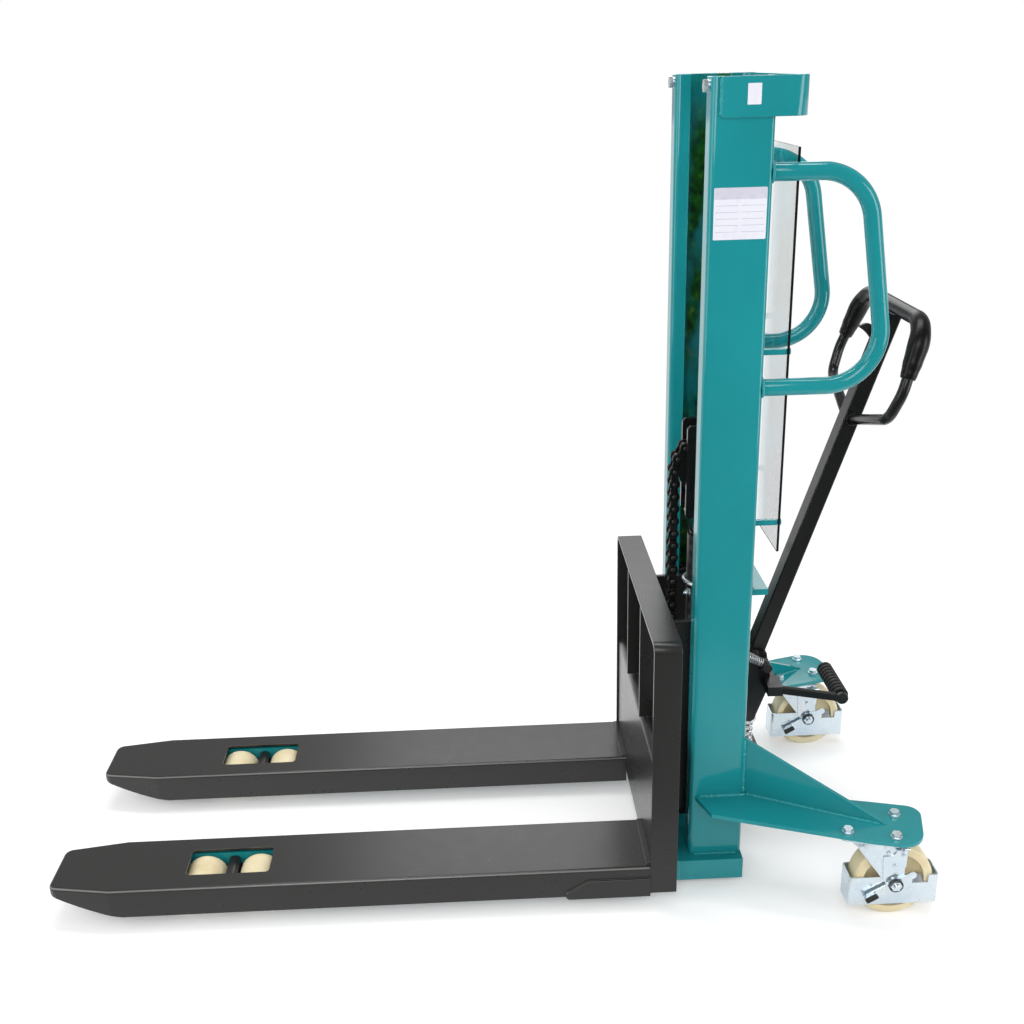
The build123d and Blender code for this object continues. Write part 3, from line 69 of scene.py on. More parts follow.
# Materials
class Surface:
    """A node material: one Principled shader, fed by textures in the part's own frame."""

    # Values of a noise that give the two ends of a roughness or a colour
    noise_range = (0.3, 0.7)

    def __init__(self, name, colour, roughness, metallic=0.0):
        self.material = bpy.data.materials.new(name)
        self.material.use_nodes = True
        self.tree = self.material.node_tree
        self.shader = self.tree.nodes["Principled BSDF"]
        coordinates = self.tree.nodes.new("ShaderNodeTexCoord")
        self.place = coordinates.outputs["Object"]
        self.slope = coordinates.outputs["Normal"]
        self.set(base_color=colour, roughness=roughness, metallic=metallic)

    def set(self, **values):
        """Set sockets of the shader by their names in small letters."""
        for key, value in values.items():
            socket = self.shader.inputs[key.replace("_", " ").title().replace("Ior", "IOR")]
            socket.default_value = (*value, 1.0) if isinstance(value, tuple) else value

    def wire(self, source, target):
        self.tree.links.new(source, target)

    def noise(self, scale, detail=3.0, stretch=(1.0, 1.0, 1.0)):
        """A noise value, with the frame stretched along each axis."""
        mapping = self.tree.nodes.new("ShaderNodeMapping")
        mapping.inputs["Scale"].default_value = stretch
        self.wire(self.place, mapping.inputs["Vector"])
        texture = self.tree.nodes.new("ShaderNodeTexNoise")
        texture.inputs["Scale"].default_value = scale
        texture.inputs["Detail"].default_value = detail
        self.wire(mapping.outputs["Vector"], texture.inputs["Vector"])
        return texture.outputs["Fac"]

    def ramp(self, source, *stops):
        """A colour ramp through pairs of a place and a colour."""
        ramp = self.tree.nodes.new("ShaderNodeValToRGB")
        elements = ramp.color_ramp.elements
        while len(elements) < len(stops):
            elements.new(0.5)
        for element, (place, colour) in zip(elements, stops):
            element.position = place
            element.color = (*colour, 1.0)
        self.wire(source, ramp.inputs["Fac"])
        return ramp.outputs["Color"]

    def spread(self, source, from_low, from_high, to_low, to_high):
        """A value carried from one range to another and held at its ends."""
        spread = self.tree.nodes.new("ShaderNodeMapRange")
        for key, value in (("From Min", from_low), ("From Max", from_high), ("To Min", to_low),
                           ("To Max", to_high)):
            spread.inputs[key].default_value = value
        self.wire(source, spread.inputs["Value"])
        return spread.outputs["Result"]

    def rise(self, source, start, end):
        """From 0 up to 1 as a value goes from start to end."""
        return self.spread(source, start, end, 0.0, 1.0)

    def fall(self, source, start, end):
        """From 1 down to 0 as a value goes from start to end."""
        return self.spread(source, start, end, 1.0, 0.0)

    def maths(self, operation, first, second=0.0):
        """A step of arithmetic on two sockets, or on a socket and a number."""
        step = self.tree.nodes.new("ShaderNodeMath")
        step.operation = operation
        for value, target in ((first, step.inputs[0]), (second, step.inputs[1])):
            if isinstance(value, float):
                target.default_value = value
            else:
                self.wire(value, target)
        return step.outputs[0]

    def split(self, source):
        """The three parts of a vector."""
        parts = self.tree.nodes.new("ShaderNodeSeparateXYZ")
        self.wire(source, parts.inputs["Vector"])
        return parts.outputs["X"], parts.outputs["Y"], parts.outputs["Z"]

    def mix(self, factor, first, second):
        """Mix two colours, each a tuple or a socket, by a socket."""
        blend = self.tree.nodes.new("ShaderNodeMix")
        blend.data_type = "RGBA"
        self.wire(factor, blend.inputs[0])
        for value, target in ((first, blend.inputs[6]), (second, blend.inputs[7])):
            if isinstance(value, tuple):
                target.default_value = (*value, 1.0)
            else:
                self.wire(value, target)
        return blend.outputs[2]

    def colour(self, source):
        self.wire(source, self.shader.inputs["Base Color"])

    def cloud(self, source, dark, light):
        """Spread a noise value between two colours."""
        low, high = self.noise_range
        self.colour(self.ramp(source, (low, dark), (high, light)))

    def roughness(self, source, low, high):
        """Spread a noise value between two roughnesses."""
        self.wire(self.spread(source, *self.noise_range, low, high), self.shader.inputs["Roughness"])

    def bump(self, source, depth, strength):
        """Relief of a real depth in metres."""
        relief = self.tree.nodes.new("ShaderNodeBump")
        relief.inputs["Distance"].default_value = depth
        relief.inputs["Strength"].default_value = strength
        self.wire(source, relief.inputs["Height"])
        self.wire(relief.outputs["Normal"], self.shader.inputs["Normal"])


def tint(red, green, blue):
    """Linear colour of a screen colour given from 0 to 255."""
    return tuple(((level / 255 + 0.055) / 1.055) ** 2.4 for level in (red, green, blue))


def painted(name, dark, light, gloss, peel=0.0):
    """Sprayed paint: a faint cloud of two tones, uneven gloss and orange peel."""
    surface = Surface(name, light, gloss[0])
    tone = surface.ramp(surface.noise(scale=4.0), (0.35, dark), (0.65, light))
    surface.colour(tone)
    surface.roughness(surface.noise(scale=30.0), *gloss)
    if peel:
        surface.bump(surface.noise(scale=260.0, detail=2.0), peel, strength=0.25)
    return surface, tone


teal_dark, teal_light = tint(25, 132, 138), tint(29, 140, 146)
teal_gloss = (0.08, 0.13)
charcoal_dark, charcoal_light = tint(36, 36, 35), tint(38, 38, 37)
charcoal_gloss = (0.27, 0.3)
faint_peel, fine_peel, coarse_peel = 0.006 * mm, 0.03 * mm, 0.06 * mm


def teal_paint():
    return painted("teal_paint", teal_dark, teal_light, teal_gloss, fine_peel)[0].material


def weld_teal():
    """Teal paint over the scales and spatter of a weld."""
    surface = painted("weld_teal", teal_light, tint(38, 152, 158), (0.05, 0.1))[0]
    surface.bump(surface.noise(scale=420.0), depth=0.6 * mm, strength=0.6)
    return surface.material


def grease_and_shade_teal(inner_half, front, rear):
    """Teal paint with streaks of green grease on the faces inside a channel, dark enough to be painted shade in
    its hollow as well.
    """
    surface, tone = painted("grease_and_shade_teal", teal_dark, teal_light, teal_gloss, fine_peel)
    x, y = surface.split(surface.place)[:2]
    skin = 1.5 * mm
    clean_lip, fade = 22 * mm, 18 * mm
    inside = surface.fall(surface.maths("ABSOLUTE", y), inner_half - skin, inner_half + skin)
    behind = surface.rise(x, front + clean_lip, front + clean_lip + fade)
    before = surface.fall(x, rear - skin, rear + skin)
    hollow = surface.maths("MULTIPLY", inside, surface.maths("MULTIPLY", behind, before))
    runs = surface.noise(scale=14.0, detail=4.0, stretch=(1.0, 1.0, 0.3))
    # Grease streaks in the hollow: real grease, made darker than the paint so that they also paint the shade
    # inside the channel.
    grease_and_shade = surface.maths("MULTIPLY", hollow, surface.rise(runs, 0.42, 0.55))
    grease_and_shade_tones = surface.ramp(surface.noise(scale=60.0), (0.35, tint(8, 52, 18)), (0.62, tint(22, 96, 24)),
                          (0.75, tint(104, 128, 30)))
    surface.colour(surface.mix(grease_and_shade, tone, grease_and_shade_tones))
    return surface.material


def charcoal_paint():
    return painted("charcoal_paint", charcoal_dark, charcoal_light, charcoal_gloss, faint_peel)[0].material


def fork_paint():
    """Charcoal paint, with a painted highlight along the upper folds of the forks."""
    surface, tone = painted("fork_paint", charcoal_dark, charcoal_light, charcoal_gloss, faint_peel)
    upward = surface.split(surface.slope)[2]
    # Painted highlight: a lighter tone on faces that lean between up and sideways, where the folds catch the
    # light.
    fold_highlight = surface.maths("MULTIPLY", surface.rise(upward, 0.3, 0.5), surface.fall(upward, 0.7, 0.9))
    surface.colour(surface.mix(fold_highlight, tone, tint(112, 112, 110)))
    return surface.material


def black_paint():
    return painted("black_paint", tint(22, 22, 22), tint(29, 29, 29), (0.28, 0.42), coarse_peel)[0].material


def bar_black():
    surface = painted("bar_black", tint(20, 21, 21), tint(24, 25, 25), (0.2, 0.26), fine_peel)[0]
    surface.set(specular_ior_level=0.4)
    return surface.material


def chain_steel():
    surface = Surface("chain_steel", tint(26, 25, 24), roughness=0.35, metallic=0.5)
    oil = surface.noise(scale=120.0)
    surface.cloud(oil, tint(17, 16, 16), tint(34, 33, 32))
    surface.roughness(oil, 0.25, 0.45)
    surface.bump(surface.noise(scale=900.0, detail=2.0), depth=0.08 * mm, strength=0.4)
    return surface.material


def pin_steel():
    surface = Surface("pin_steel", tint(84, 83, 82), roughness=0.3, metallic=0.9)
    surface.roughness(surface.noise(scale=500.0), 0.22, 0.4)
    surface.bump(surface.noise(scale=1500.0, detail=2.0), depth=0.06 * mm, strength=0.4)
    return surface.material


def zinc_plate():
    surface = Surface("zinc_plate", tint(212, 224, 232), roughness=0.24, metallic=0.85)
    cloud = surface.noise(scale=14.0)
    surface.colour(surface.ramp(cloud, (0.3, tint(204, 219, 230)), (0.55, tint(216, 227, 234)),
                                (0.75, tint(224, 227, 226))))
    surface.roughness(surface.noise(scale=40.0), 0.2, 0.32)
    surface.bump(surface.noise(scale=180.0), depth=0.06 * mm, strength=0.25)
    return surface.material


def bright_steel():
    surface = Surface("bright_steel", tint(216, 218, 220), roughness=0.18, metallic=1.0)
    lines = surface.noise(scale=300.0, detail=2.0, stretch=(1.0, 1.0, 0.02))
    surface.roughness(lines, 0.12, 0.25)
    surface.bump(lines, depth=0.05 * mm, strength=0.3)
    return surface.material


def cream_nylon():
    surface = Surface("cream_nylon", tint(226, 214, 178), roughness=0.4)
    surface.set(subsurface_weight=0.12, subsurface_scale=8 * mm, specular_ior_level=0.35)
    surface.cloud(surface.noise(scale=22.0), tint(214, 198, 156), tint(232, 221, 188))
    surface.roughness(surface.noise(scale=80.0), 0.34, 0.46)
    surface.bump(surface.noise(scale=350.0, detail=2.0), depth=0.1 * mm, strength=0.25)
    return surface.material


def clear_sheet():
    surface = Surface("clear_sheet", tint(247, 248, 250), roughness=0.02)
    surface.set(transmission_weight=1.0, ior=1.25)
    surface.roughness(surface.noise(scale=12.0), 0.01, 0.03)
    return surface.material


def sheet_edge():
    surface = Surface("sheet_edge", tint(16, 19, 19), roughness=0.2)
    surface.cloud(surface.noise(scale=40.0), tint(12, 14, 14), tint(26, 30, 30))
    surface.roughness(surface.noise(scale=200.0), 0.12, 0.3)
    return surface.material


def black_rubber():
    surface = Surface("black_rubber", tint(30, 30, 30), roughness=0.55)
    surface.cloud(surface.noise(scale=60.0), tint(24, 24, 24), tint(36, 36, 36))
    surface.roughness(surface.noise(scale=200.0), 0.42, 0.6)
    surface.bump(surface.noise(scale=900.0, detail=2.0), depth=0.1 * mm, strength=0.5)
    return surface.material


def grip_plastic():
    surface = Surface("grip_plastic", tint(13, 13, 13), roughness=0.3)
    surface.set(specular_ior_level=0.25)
    surface.cloud(surface.noise(scale=25.0), tint(11, 11, 11), tint(15, 15, 15))
    surface.roughness(surface.noise(scale=140.0), 0.3, 0.33)
    surface.bump(surface.noise(scale=900.0, detail=2.0), depth=0.02 * mm, strength=0.3)
    return surface.material


def label_film(name, red, green, blue):
    """Film of one colour, a little faded in places."""
    fresh, faded = tint(red, green, blue), tint(red - 5, green - 5, blue - 4)
    surface = Surface(name, fresh, roughness=0.3)
    surface.cloud(surface.noise(scale=18.0), faded, fresh)
    surface.roughness(surface.noise(scale=90.0), 0.24, 0.38)
    return surface.material


# Places from the frame
mast_low, mast_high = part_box("mast_channel_left")
mast_front, mast_rear = mast_low.x, mast_high.x
mast_side, mast_top = -mast_low.y, mast_high.z
base_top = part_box("base_box")[1].z
fork_top = mount_named["fork_left_top"]["pos_m"][2]
channel_wall = 6 * mm
channel_corner = 9 * mm
half_wall = channel_wall / 2
leftward = Vector((0, -1, 0))

teal = teal_paint()
weld_paint = weld_teal()
grease_and_shade_paint = grease_and_shade_teal(mast_side - half_wall, mast_front + half_wall, mast_rear - half_wall)
charcoal = charcoal_paint()
fork_charcoal = fork_paint()
black = black_paint()
black_bar = bar_black()
chain_black = chain_steel()
pin_grey = pin_steel()
zinc = zinc_plate()
steel = bright_steel()
nylon = cream_nylon()
clear = clear_sheet()
edge_black = sheet_edge()
rubber = black_rubber()
plastic = grip_plastic()
film = label_film("label_film", 228, 228, 238)
film_grey = label_film("label_grey", 204, 203, 216)
film_rule = label_film("label_rule", 176, 176, 190)
slot_material = {"teal_paint": teal, "charcoal_paint": charcoal, "black_paint": black, "zinc_plate": zinc,
                 "bright_steel": steel, "cream_nylon": nylon, "clear_sheet": clear, "black_rubber": rubber,
                 "black_grip": plastic}
node_material = {"mast_channel_left": grease_and_shade_paint, "mast_channel_right": grease_and_shade_paint, "tiller_bar": black_bar,
                 "tiller_loop": black_bar, "crosshead": black_bar, "pedal_lever": black_bar,
                 "fork_left": fork_charcoal, "fork_right": fork_charcoal}


# Finish of the CAD nodes: a material for each slot, and softened edges
edge_width = {"teal_paint": 1.2 * mm, "charcoal_paint": 1.2 * mm, "black_paint": 1.0 * mm,
              "zinc_plate": 0.5 * mm, "cream_nylon": 0.8 * mm, "black_rubber": 1.0 * mm}
wide_edges = {"fork_left": 3.5 * mm, "fork_right": 3.5 * mm, "tiller_rocker": 3 * mm, "pedal_lever": 2 * mm,
              "finger_lever": 1.5 * mm}


def soften(piece, width):
    """Join the split corners and flat faces of a node and round its sharp edges."""
    weld = piece.modifiers.new("weld", "WELD")
    weld.merge_threshold = 0.01 * mm
    flatten = piece.modifiers.new("whole faces", "DECIMATE")
    flatten.decimate_type = "DISSOLVE"
    flatten.angle_limit = radians(0.5)
    bevel = piece.modifiers.new("soft edges", "BEVEL")
    bevel.width = width
    bevel.segments = 3
    bevel.limit_method = "ANGLE"
    bevel.angle_limit = radians(35)
    bevel.harden_normals = True


for subpart in record["subparts"]:
    node = nodes[subpart["node"]]
    slot = subpart["material_slot"]
    node.data.materials.clear()
    node.data.materials.append(node_material.get(subpart["node"], slot_material[slot]))
    if slot in edge_width:
        soften(node, wide_edges.get(subpart["node"], edge_width[slot]))


# Building blocks of the pieces
def in_mm(*rows):
    """Rows of lengths that are written in millimetres."""
    return [tuple(length * mm for length in row) for row in rows]


def circle(radius, sides):
    """A counter-clockwise ring of flat points."""
    angles = [2 * pi * side / sides for side in range(sides)]
    return [Vector((radius * cos(angle), radius * sin(angle))) for angle in angles]


def rectangle(width, height, corner):
    """A counter-clockwise rectangle about the origin with round corners."""
    steps = 4
    points = []
    for quarter, (across, up) in enumerate(((1, 1), (-1, 1), (-1, -1), (1, -1))):
        centre = Vector((across * (width / 2 - corner), up * (height / 2 - corner)))
        for step in range(steps + 1):
            angle = pi / 2 * (quarter + step / steps)
            points.append(centre + Vector((cos(angle), sin(angle))) * corner)
    return points


def inset(outline, amount):
    """A counter-clockwise outline drawn in by an amount."""
    drawn = []
    for index, point in enumerate(outline):
        before = (point - outline[index - 1]).normalized()
        after = (outline[(index + 1) % len(outline)] - point).normalized()
        inward = Vector((-before.y - after.y, before.x + after.x)).normalized()
        drawn.append(point + inward * amount)
    return drawn


def facing(origin, outward, upward=(0, 0, 1)):
    """A place whose Z looks outward and whose Y leans upward."""
    forward = Vector(outward).normalized()
    across = Vector(upward).cross(forward).normalized()
    up = forward.cross(across)
    turn = Matrix((across, up, forward)).transposed().to_4x4()
    return Matrix.Translation(Vector(origin)) @ turn


def evenly(corners, step):
    """Points along the runs between corners, about a step apart."""
    points = [Vector(corners[0])]
    for start, end in zip(corners, corners[1:]):
        start, end = Vector(start), Vector(end)
        count = ceil((end - start).length / step)
        points += [start.lerp(end, share / count) for share in range(1, count + 1)]
    return points


def rounded(corners, radius, steps):
    """A path through corners that are rounded to one radius."""
    path = [Vector(corners[0])]
    for before, corner, after in zip(corners, corners[1:], corners[2:]):
        back = (before - corner).normalized()
        ahead = (after - corner).normalized()
        half = back.angle(ahead) / 2
        centre = corner + (back + ahead).normalized() * (radius / sin(half))
        reach = radius * cos(half) / sin(half)
        start = corner + back * reach - centre
        end = corner + ahead * reach - centre
        path += [centre + start.lerp(end, step / steps).normalized() * radius for step in range(steps + 1)]
    path.append(Vector(corners[-1]))
    return path


def ring_run(centre, radius, across, up):
    """A full turn about a centre in the plane of two directions."""
    steps = 40
    points = []
    for step in range(steps + 1):
        angle = 2 * pi * step / steps
        points.append(Vector(centre) + (Vector(across) * cos(angle) + Vector(up) * sin(angle)) * radius)
    return points


def add_rings(bm, rings, material):
    """Skin a row of rings of vertices, with flat ends."""
    count = len(rings[0])
    faces = [bm.faces.new(list(reversed(rings[0]))), bm.faces.new(rings[-1])]
    for lower, upper in zip(rings, rings[1:]):
        for index in range(count):
            after = (index + 1) % count
            faces.append(bm.faces.new((lower[index], lower[after], upper[after], upper[index])))
    for face in faces:
        face.material_index = material


def add_layers(bm, layers, place, material):
    """Skin a row of flat outlines, each at a level along its place's own Z."""
    rings = []
    for outline, level in layers:
        rings.append([bm.verts.new(place @ Vector((point.x, point.y, level))) for point in outline])
    add_rings(bm, rings, material)


def add_prism(bm, outline, place, low, high, edge, material=0):
    """A plate over an outline, between two levels, with soft edges."""
    small = inset(outline, edge)
    layers = ((small, low), (outline, low + edge), (outline, high - edge), (small, high))
    add_layers(bm, layers, place, material)


def add_turned(bm, profile, place, sides, material=0):
    """A turned form from pairs of a radius and a level."""
    add_layers(bm, [(circle(radius, sides), level) for radius, level in profile], place, material)


def add_sweep(bm, points, radii, sides):
    """A round tube through points, with a radius of its own at each."""
    rings = []
    side = None
    last = len(points) - 1
    for index, (point, radius) in enumerate(zip(points, radii)):
        way = (points[min(index + 1, last)] - points[max(index - 1, 0)]).normalized()
        side = way.orthogonal() if side is None else side
        side = (side - way * side.dot(way)).normalized()
        other = way.cross(side)
        ring = []
        for step in range(sides):
            angle = 2 * pi * step / sides
            ring.append(bm.verts.new(point + (side * cos(angle) + other * sin(angle)) * radius))
        rings.append(ring)
    add_rings(bm, rings, 0)


def hex_bolt(bm, place, across, height, washer):
    """A washer with a chamfered hexagon on it."""
    collar = washer / 12
    rim = washer / 2
    inner_rim = rim - collar / 2
    profile = [(inner_rim, 0.0), (rim, collar / 2), (rim, collar), (inner_rim, 1.4 * collar)]
    add_turned(bm, profile, place, sides=24)
    add_prism(bm, circle(across / 2 / cos(pi / 6), sides=6), place, collar, height, height / 10)


def make_piece(name, bm, materials, body=None, sharp=40):
    """Turn a finished form into a named object on a body."""
    mesh = bpy.data.meshes.new(name)
    bm.to_mesh(mesh)
    bm.free()
    for material in materials:
        mesh.materials.append(material)
    mesh.shade_smooth()
    mesh.set_sharp_from_angle(angle=radians(sharp))
    piece = bpy.data.objects.new(name, mesh)
    bpy.context.scene.collection.objects.link(piece)
    if body:
        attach(piece, body)
    return piece


# Lifting chain: plates, rollers and pins, in stretches that slide over each other as the forks rise
chain_pitch = 25.4 * mm
wrap_links = 8
slide_links = 6
slide_parts = 3
plate_radius = 10.5 * mm
plate_waist = 14.4 * mm
plate_thickness = 3.2 * mm
plate_edge = 0.6 * mm
inner_face = 8.5 * mm
outer_face = inner_face + plate_thickness + 0.3 * mm
roller_radius = 7.95 * mm
pin_radius = 4.15 * mm
pin_half = 17.5 * mm
pin_sides, roller_sides = 14, 18
stretch_growth = 0.06 * mm
pulley = Vector(joint_named["pulley_spin"]["pos_m"])
pulley_radius = chain_pitch / 2 / sin(pi / 2 / wrap_links)


def plate_outline(growth):
    """A chain plate: two round ends joined by a waist."""
    radius = plate_radius + growth
    open_angle = asin(plate_waist / 2 / radius)
    sweep_angle = 2 * (pi - open_angle)
    steps = 12
    points = []
    for way in (0.0, pi):
        centre = Vector((cos(way) * chain_pitch / 2, 0.0))
        for step in range(steps + 1):
            angle = way - sweep_angle / 2 + sweep_angle * step / steps
            points.append(centre + Vector((cos(angle), sin(angle))) * radius)
    return points


def add_link(bm, outline, start, end, face, growth):
    """The two plates of a link, whose inner faces lie at a distance from the chain's middle."""
    along = (end - start).normalized()
    turn = Matrix((along, leftward.cross(along), leftward)).transposed().to_4x4()
    place = Matrix.Translation((start + end) / 2) @ turn
    far = face + plate_thickness + 2 * growth
    add_prism(bm, outline, place, face, far, plate_edge)
    add_prism(bm, outline, place, -far, -face, plate_edge)


def add_pin(bm, joint, growth):
    """A pin with round ends, and its roller."""
    place = facing(joint, leftward)
    rounding = pin_radius / 4
    pin_end = pin_half + growth
    tip, shank = pin_radius - rounding, pin_radius + growth
    profile = [(tip, -pin_end), (shank, rounding - pin_end), (shank, pin_end - rounding), (tip, pin_end)]
    add_turned(bm, profile, place, pin_sides, material=1)
    roller = roller_radius + growth
    add_turned(bm, [(roller, -inner_face), (roller, inner_face)], place, roller_sides)


def chain_stretch(name, joints, first_inner, pinned, growth=0.0):
    """Links through a row of joints, a little larger by the growth."""
    bm = bmesh.new()
    outline = plate_outline(growth)
    for index, (start, end) in enumerate(zip(joints, joints[1:])):
        inner = (index % 2 == 0) == first_inner
        add_link(bm, outline, start, end, (inner_face if inner else outer_face) - growth, growth)
    for joint in pinned:
        add_pin(bm, joint, growth)
    return make_piece(name, bm, [chain_black, pin_grey])


def share_between(piece, first, second, part):
    """Let an end stretch ride on one of two bodies, and leave the stretches between fixed where they are."""
    if part in (0, slide_parts):
        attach(piece, second if part else first)
        return
    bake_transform(piece)


def hang_run(side_x, links):
    """Joints of a straight run that hangs from the level of the pulley."""
    return [Vector((side_x, 0, pulley.z - step * chain_pitch)) for step in range(links + 1)]


def hang_chain():
    """The wrap rides on the crosshead, and each run slides out of itself between the bodies it joins."""
    wrap = [pulley + Vector((-cos(pi * step / wrap_links), 0, sin(pi * step / wrap_links))) * pulley_radius
            for step in range(wrap_links + 1)]
    piece = chain_stretch("chain_over_pulley", wrap, True, wrap)
    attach(piece, "crosshead")
    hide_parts("chain_wrap")
    front_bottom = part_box("chain_front_run")[0].z + plate_radius
    front = hang_run(pulley.x - pulley_radius, round((pulley.z - front_bottom) / chain_pitch))
    for part in range(slide_parts + 1):
        end = (part + 1) * slide_links + 1 if part < slide_parts else len(front)
        joints = front[part * slide_links:end]
        piece = chain_stretch(f"chain_front_{part}", joints, False, joints[1:], part * stretch_growth)
        share_between(piece, "crosshead", "carriage", part)
        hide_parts("chain_front_run")
    back = hang_run(pulley.x + pulley_radius, slide_links)
    for part in range(slide_parts + 1):
        piece = chain_stretch(f"chain_back_{part}", back, True, back[1:], part * stretch_growth)
        share_between(piece, "chassis", "crosshead", part)
        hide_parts("chain_back_run")


hang_chain()


# Springs with their turns
def coil(name, foot, head, radius, wire, turns, end_turns=0.0):
    """A wound wire from foot to head, with closed turns at its ends."""
    axis = (head - foot).normalized()
    sideways = Vector((0, 1, 0))
    across = sideways.cross(axis)
    length = (head - foot).length
    steps_per_turn = 20
    closed = wire * end_turns
    points = []
    for step in range(turns * steps_per_turn + 1):
        turn = step / steps_per_turn
        share = min(max((turn - end_turns) / (turns - 2 * end_turns), 0.0), 1.0)
        lead = closed * min(turn / end_turns, 1.0) if end_turns else 0.0
        trail = closed * max((turn - turns + end_turns) / end_turns, 0.0) if end_turns else 0.0
        level = wire / 2 + lead + trail + (length - wire - 2 * closed) * share
        angle = 2 * pi * turn
        points.append(foot + (across * cos(angle) + sideways * sin(angle)) * radius + axis * level)
    bm = bmesh.new()
    add_sweep(bm, points, [wire / 2] * len(points), sides=10)
    return make_piece(name, bm, [steel])


def plunger_spring():
    """The plunger's spring, which its stroke shortens."""
    low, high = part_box("plunger_spring")
    wire = 4 * mm
    centre = (low + high) / 2
    foot = Vector((centre.x, centre.y, low.z))
    head = Vector((centre.x, centre.y, high.z))
    radius = (high.y - low.y - wire) / 2
    spring = coil("plunger_spring_wire", foot, head, radius, wire, turns=5, end_turns=0.8)
    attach(spring, "chassis")
    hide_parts("plunger_spring")
    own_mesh(spring)


def return_spring():
    """The return spring, which leans up from the tiller to the chassis."""
    low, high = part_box("return_spring")
    wire = 2.5 * mm
    lean = radians(27)
    half_length = 39 * mm
    half = Vector((-cos(lean), 0, sin(lean))) * half_length
    centre = (low + high) / 2
    radius = (high.y - low.y - wire) / 2
    spring = coil("return_spring_wire", centre - half, centre + half, radius, wire, turns=18)
    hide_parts("return_spring")
    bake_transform(spring)


plunger_spring()
return_spring()


# Weld beads: uneven ripples along the seams
bead_step = 0.9 * mm
bead_sides = 8
ripple_length, ripple_share = 3.4 * mm, 0.13
swell_length, swell_share = 7 * mm, 0.45
wander_length, wander_reach = 11 * mm, 0.4 * mm
end_share = 0.35
beside_mast = -mast_side - mm


def both_sides(runs):
    """Runs on the left, and their mirror images on the right."""
    return runs + [[Vector((point[0], -point[1], point[2])) for point in run] for run in runs]


def weld_bead(name, runs, width, body, material):
    """Beads along runs, each with its ripples, swells and wander, thinner at its ends."""
    bm = bmesh.new()
    for number, run in enumerate(runs):
        points = evenly(run, bead_step)
        radii = []
        for index, point in enumerate(points):
            along = index * bead_step
            from_end = min(index, len(points) - 1 - index) * bead_step
            swell = noise.noise(Vector((along / swell_length, number, 0.0)))
            growth = 1 + ripple_share * sin(2 * pi * along / ripple_length) + swell_share * swell
            radii.append(width / 2 * min(1.0, end_share + from_end / width) * growth)
            wander = Vector((noise.noise(Vector((along / wander_length, number, 3.0))),
                             noise.noise(Vector((along / wander_length, number, 5.0))), 0.0))
            points[index] = point + wander * wander_reach
        add_sweep(bm, points, radii, bead_sides)
    make_piece(name, bm, [material], body, sharp=80)


def weld_chassis(name, runs, width):
    weld_bead(name, both_sides(runs), width, "chassis", weld_paint)


def weld_carriage(name, runs, width):
    weld_bead(name, both_sides(runs), width, "carriage", charcoal)


def outrigger_welds():
    """Seams of the plate along the mast, and of the gusset on the plate and on the mast."""
    plate_low, gusset_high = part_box("outrigger_left")
    outrigger_plate = 8 * mm
    plate_top = plate_low.z + outrigger_plate
    gusset_turn = radians(27.25)
    gusset_half, gusset_length = 5 * mm, 262 * mm
    upright_spread = 1.1
    toe_inset, corner_inset, corner_reach, root_gap = 5 * mm, 4 * mm, 8 * mm, 6 * mm
    root = Vector((mast_rear, channel_corner - mast_side, plate_top))
    away = Vector((cos(gusset_turn), -sin(gusset_turn), 0))
    square = Vector((-sin(gusset_turn), -cos(gusset_turn), 0))
    seams = [[(plate_low.x + toe_inset, beside_mast, plate_top),
              (mast_rear - corner_inset, beside_mast, plate_top),
              root + away * corner_reach + square * gusset_half]]
    for half in (gusset_half, -gusset_half):
        face = root + square * half
        seams.append([face + away * root_gap, face + away * gusset_length])
        foot = root + square * half * upright_spread + away * mm
        seams.append([foot, foot + Vector((0, 0, gusset_high.z - plate_top))])
    weld_chassis("outrigger_welds", seams, 7.5 * mm)


def head_welds():
    """Seams of the head bracket at its front and lower edges."""
    low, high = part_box("mast_head_bracket")
    edge_x, edge_y = low.x - 0.5 * mm, -mast_side - 3 * mm
    end_inset, corner_inset = 2 * mm, 3 * mm
    front = [(edge_x, edge_y, low.z + end_inset), (edge_x, edge_y, high.z - end_inset)]
    lower = [(edge_x + corner_inset, beside_mast, low.z), (mast_rear - channel_corner, beside_mast, low.z)]
    weld_chassis("head_welds", [front], 6.5 * mm)
    weld_chassis("head_edge_welds", [lower], 2.6 * mm)


def mast_foot_welds():
    seam = [(mast_front + channel_corner, beside_mast, base_top),
            (mast_rear - channel_corner, beside_mast, base_top)]
    weld_chassis("mast_foot_welds", [seam], 5 * mm)


def shelf_welds():
    low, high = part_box("rear_shelf")
    start, end = low.y + 2 * mm, low.y + 13 * mm
    weld_chassis("shelf_welds", [[(mast_rear + mm, start, high.z), (mast_rear + mm, end, high.z)]], 4 * mm)


def handle_welds():
    """Rings round both ends of each push handle."""
    low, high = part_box("push_handles")
    tube_radius = 15 * mm
    proud = 0.8 * mm
    rings = []
    for level in (low.z + tube_radius, high.z - tube_radius):
        centre = (mast_rear + proud, low.y + tube_radius, level)
        rings.append(ring_run(centre, tube_radius + mm, (0, 1, 0), (0, 0, 1)))
    weld_chassis("handle_welds", rings, 5 * mm)


def rib_welds():
    """Seams beside the ribs, at the top of the front plate and at the ribs' own top."""
    rib_low, rib_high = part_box("carriage_ribs")
    plate_low, plate_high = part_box("carriage_front_plate")
    rib_thickness, proud = 8 * mm, 0.5 * mm
    plate_start, plate_end = plate_low.x + 10 * mm, plate_high.x - 6 * mm
    rib_start, rib_end = rib_low.x + 4 * mm, rib_high.x - 4 * mm
    seams = []
    for y in (rib_low.y - proud, rib_low.y + rib_thickness + proud):
        seams.append([(plate_start, y, plate_high.z), (plate_end, y, plate_high.z)])
        seams.append([(rib_start, y, rib_high.z), (rib_end, y, rib_high.z)])
    weld_carriage("rib_welds", seams, 5 * mm)


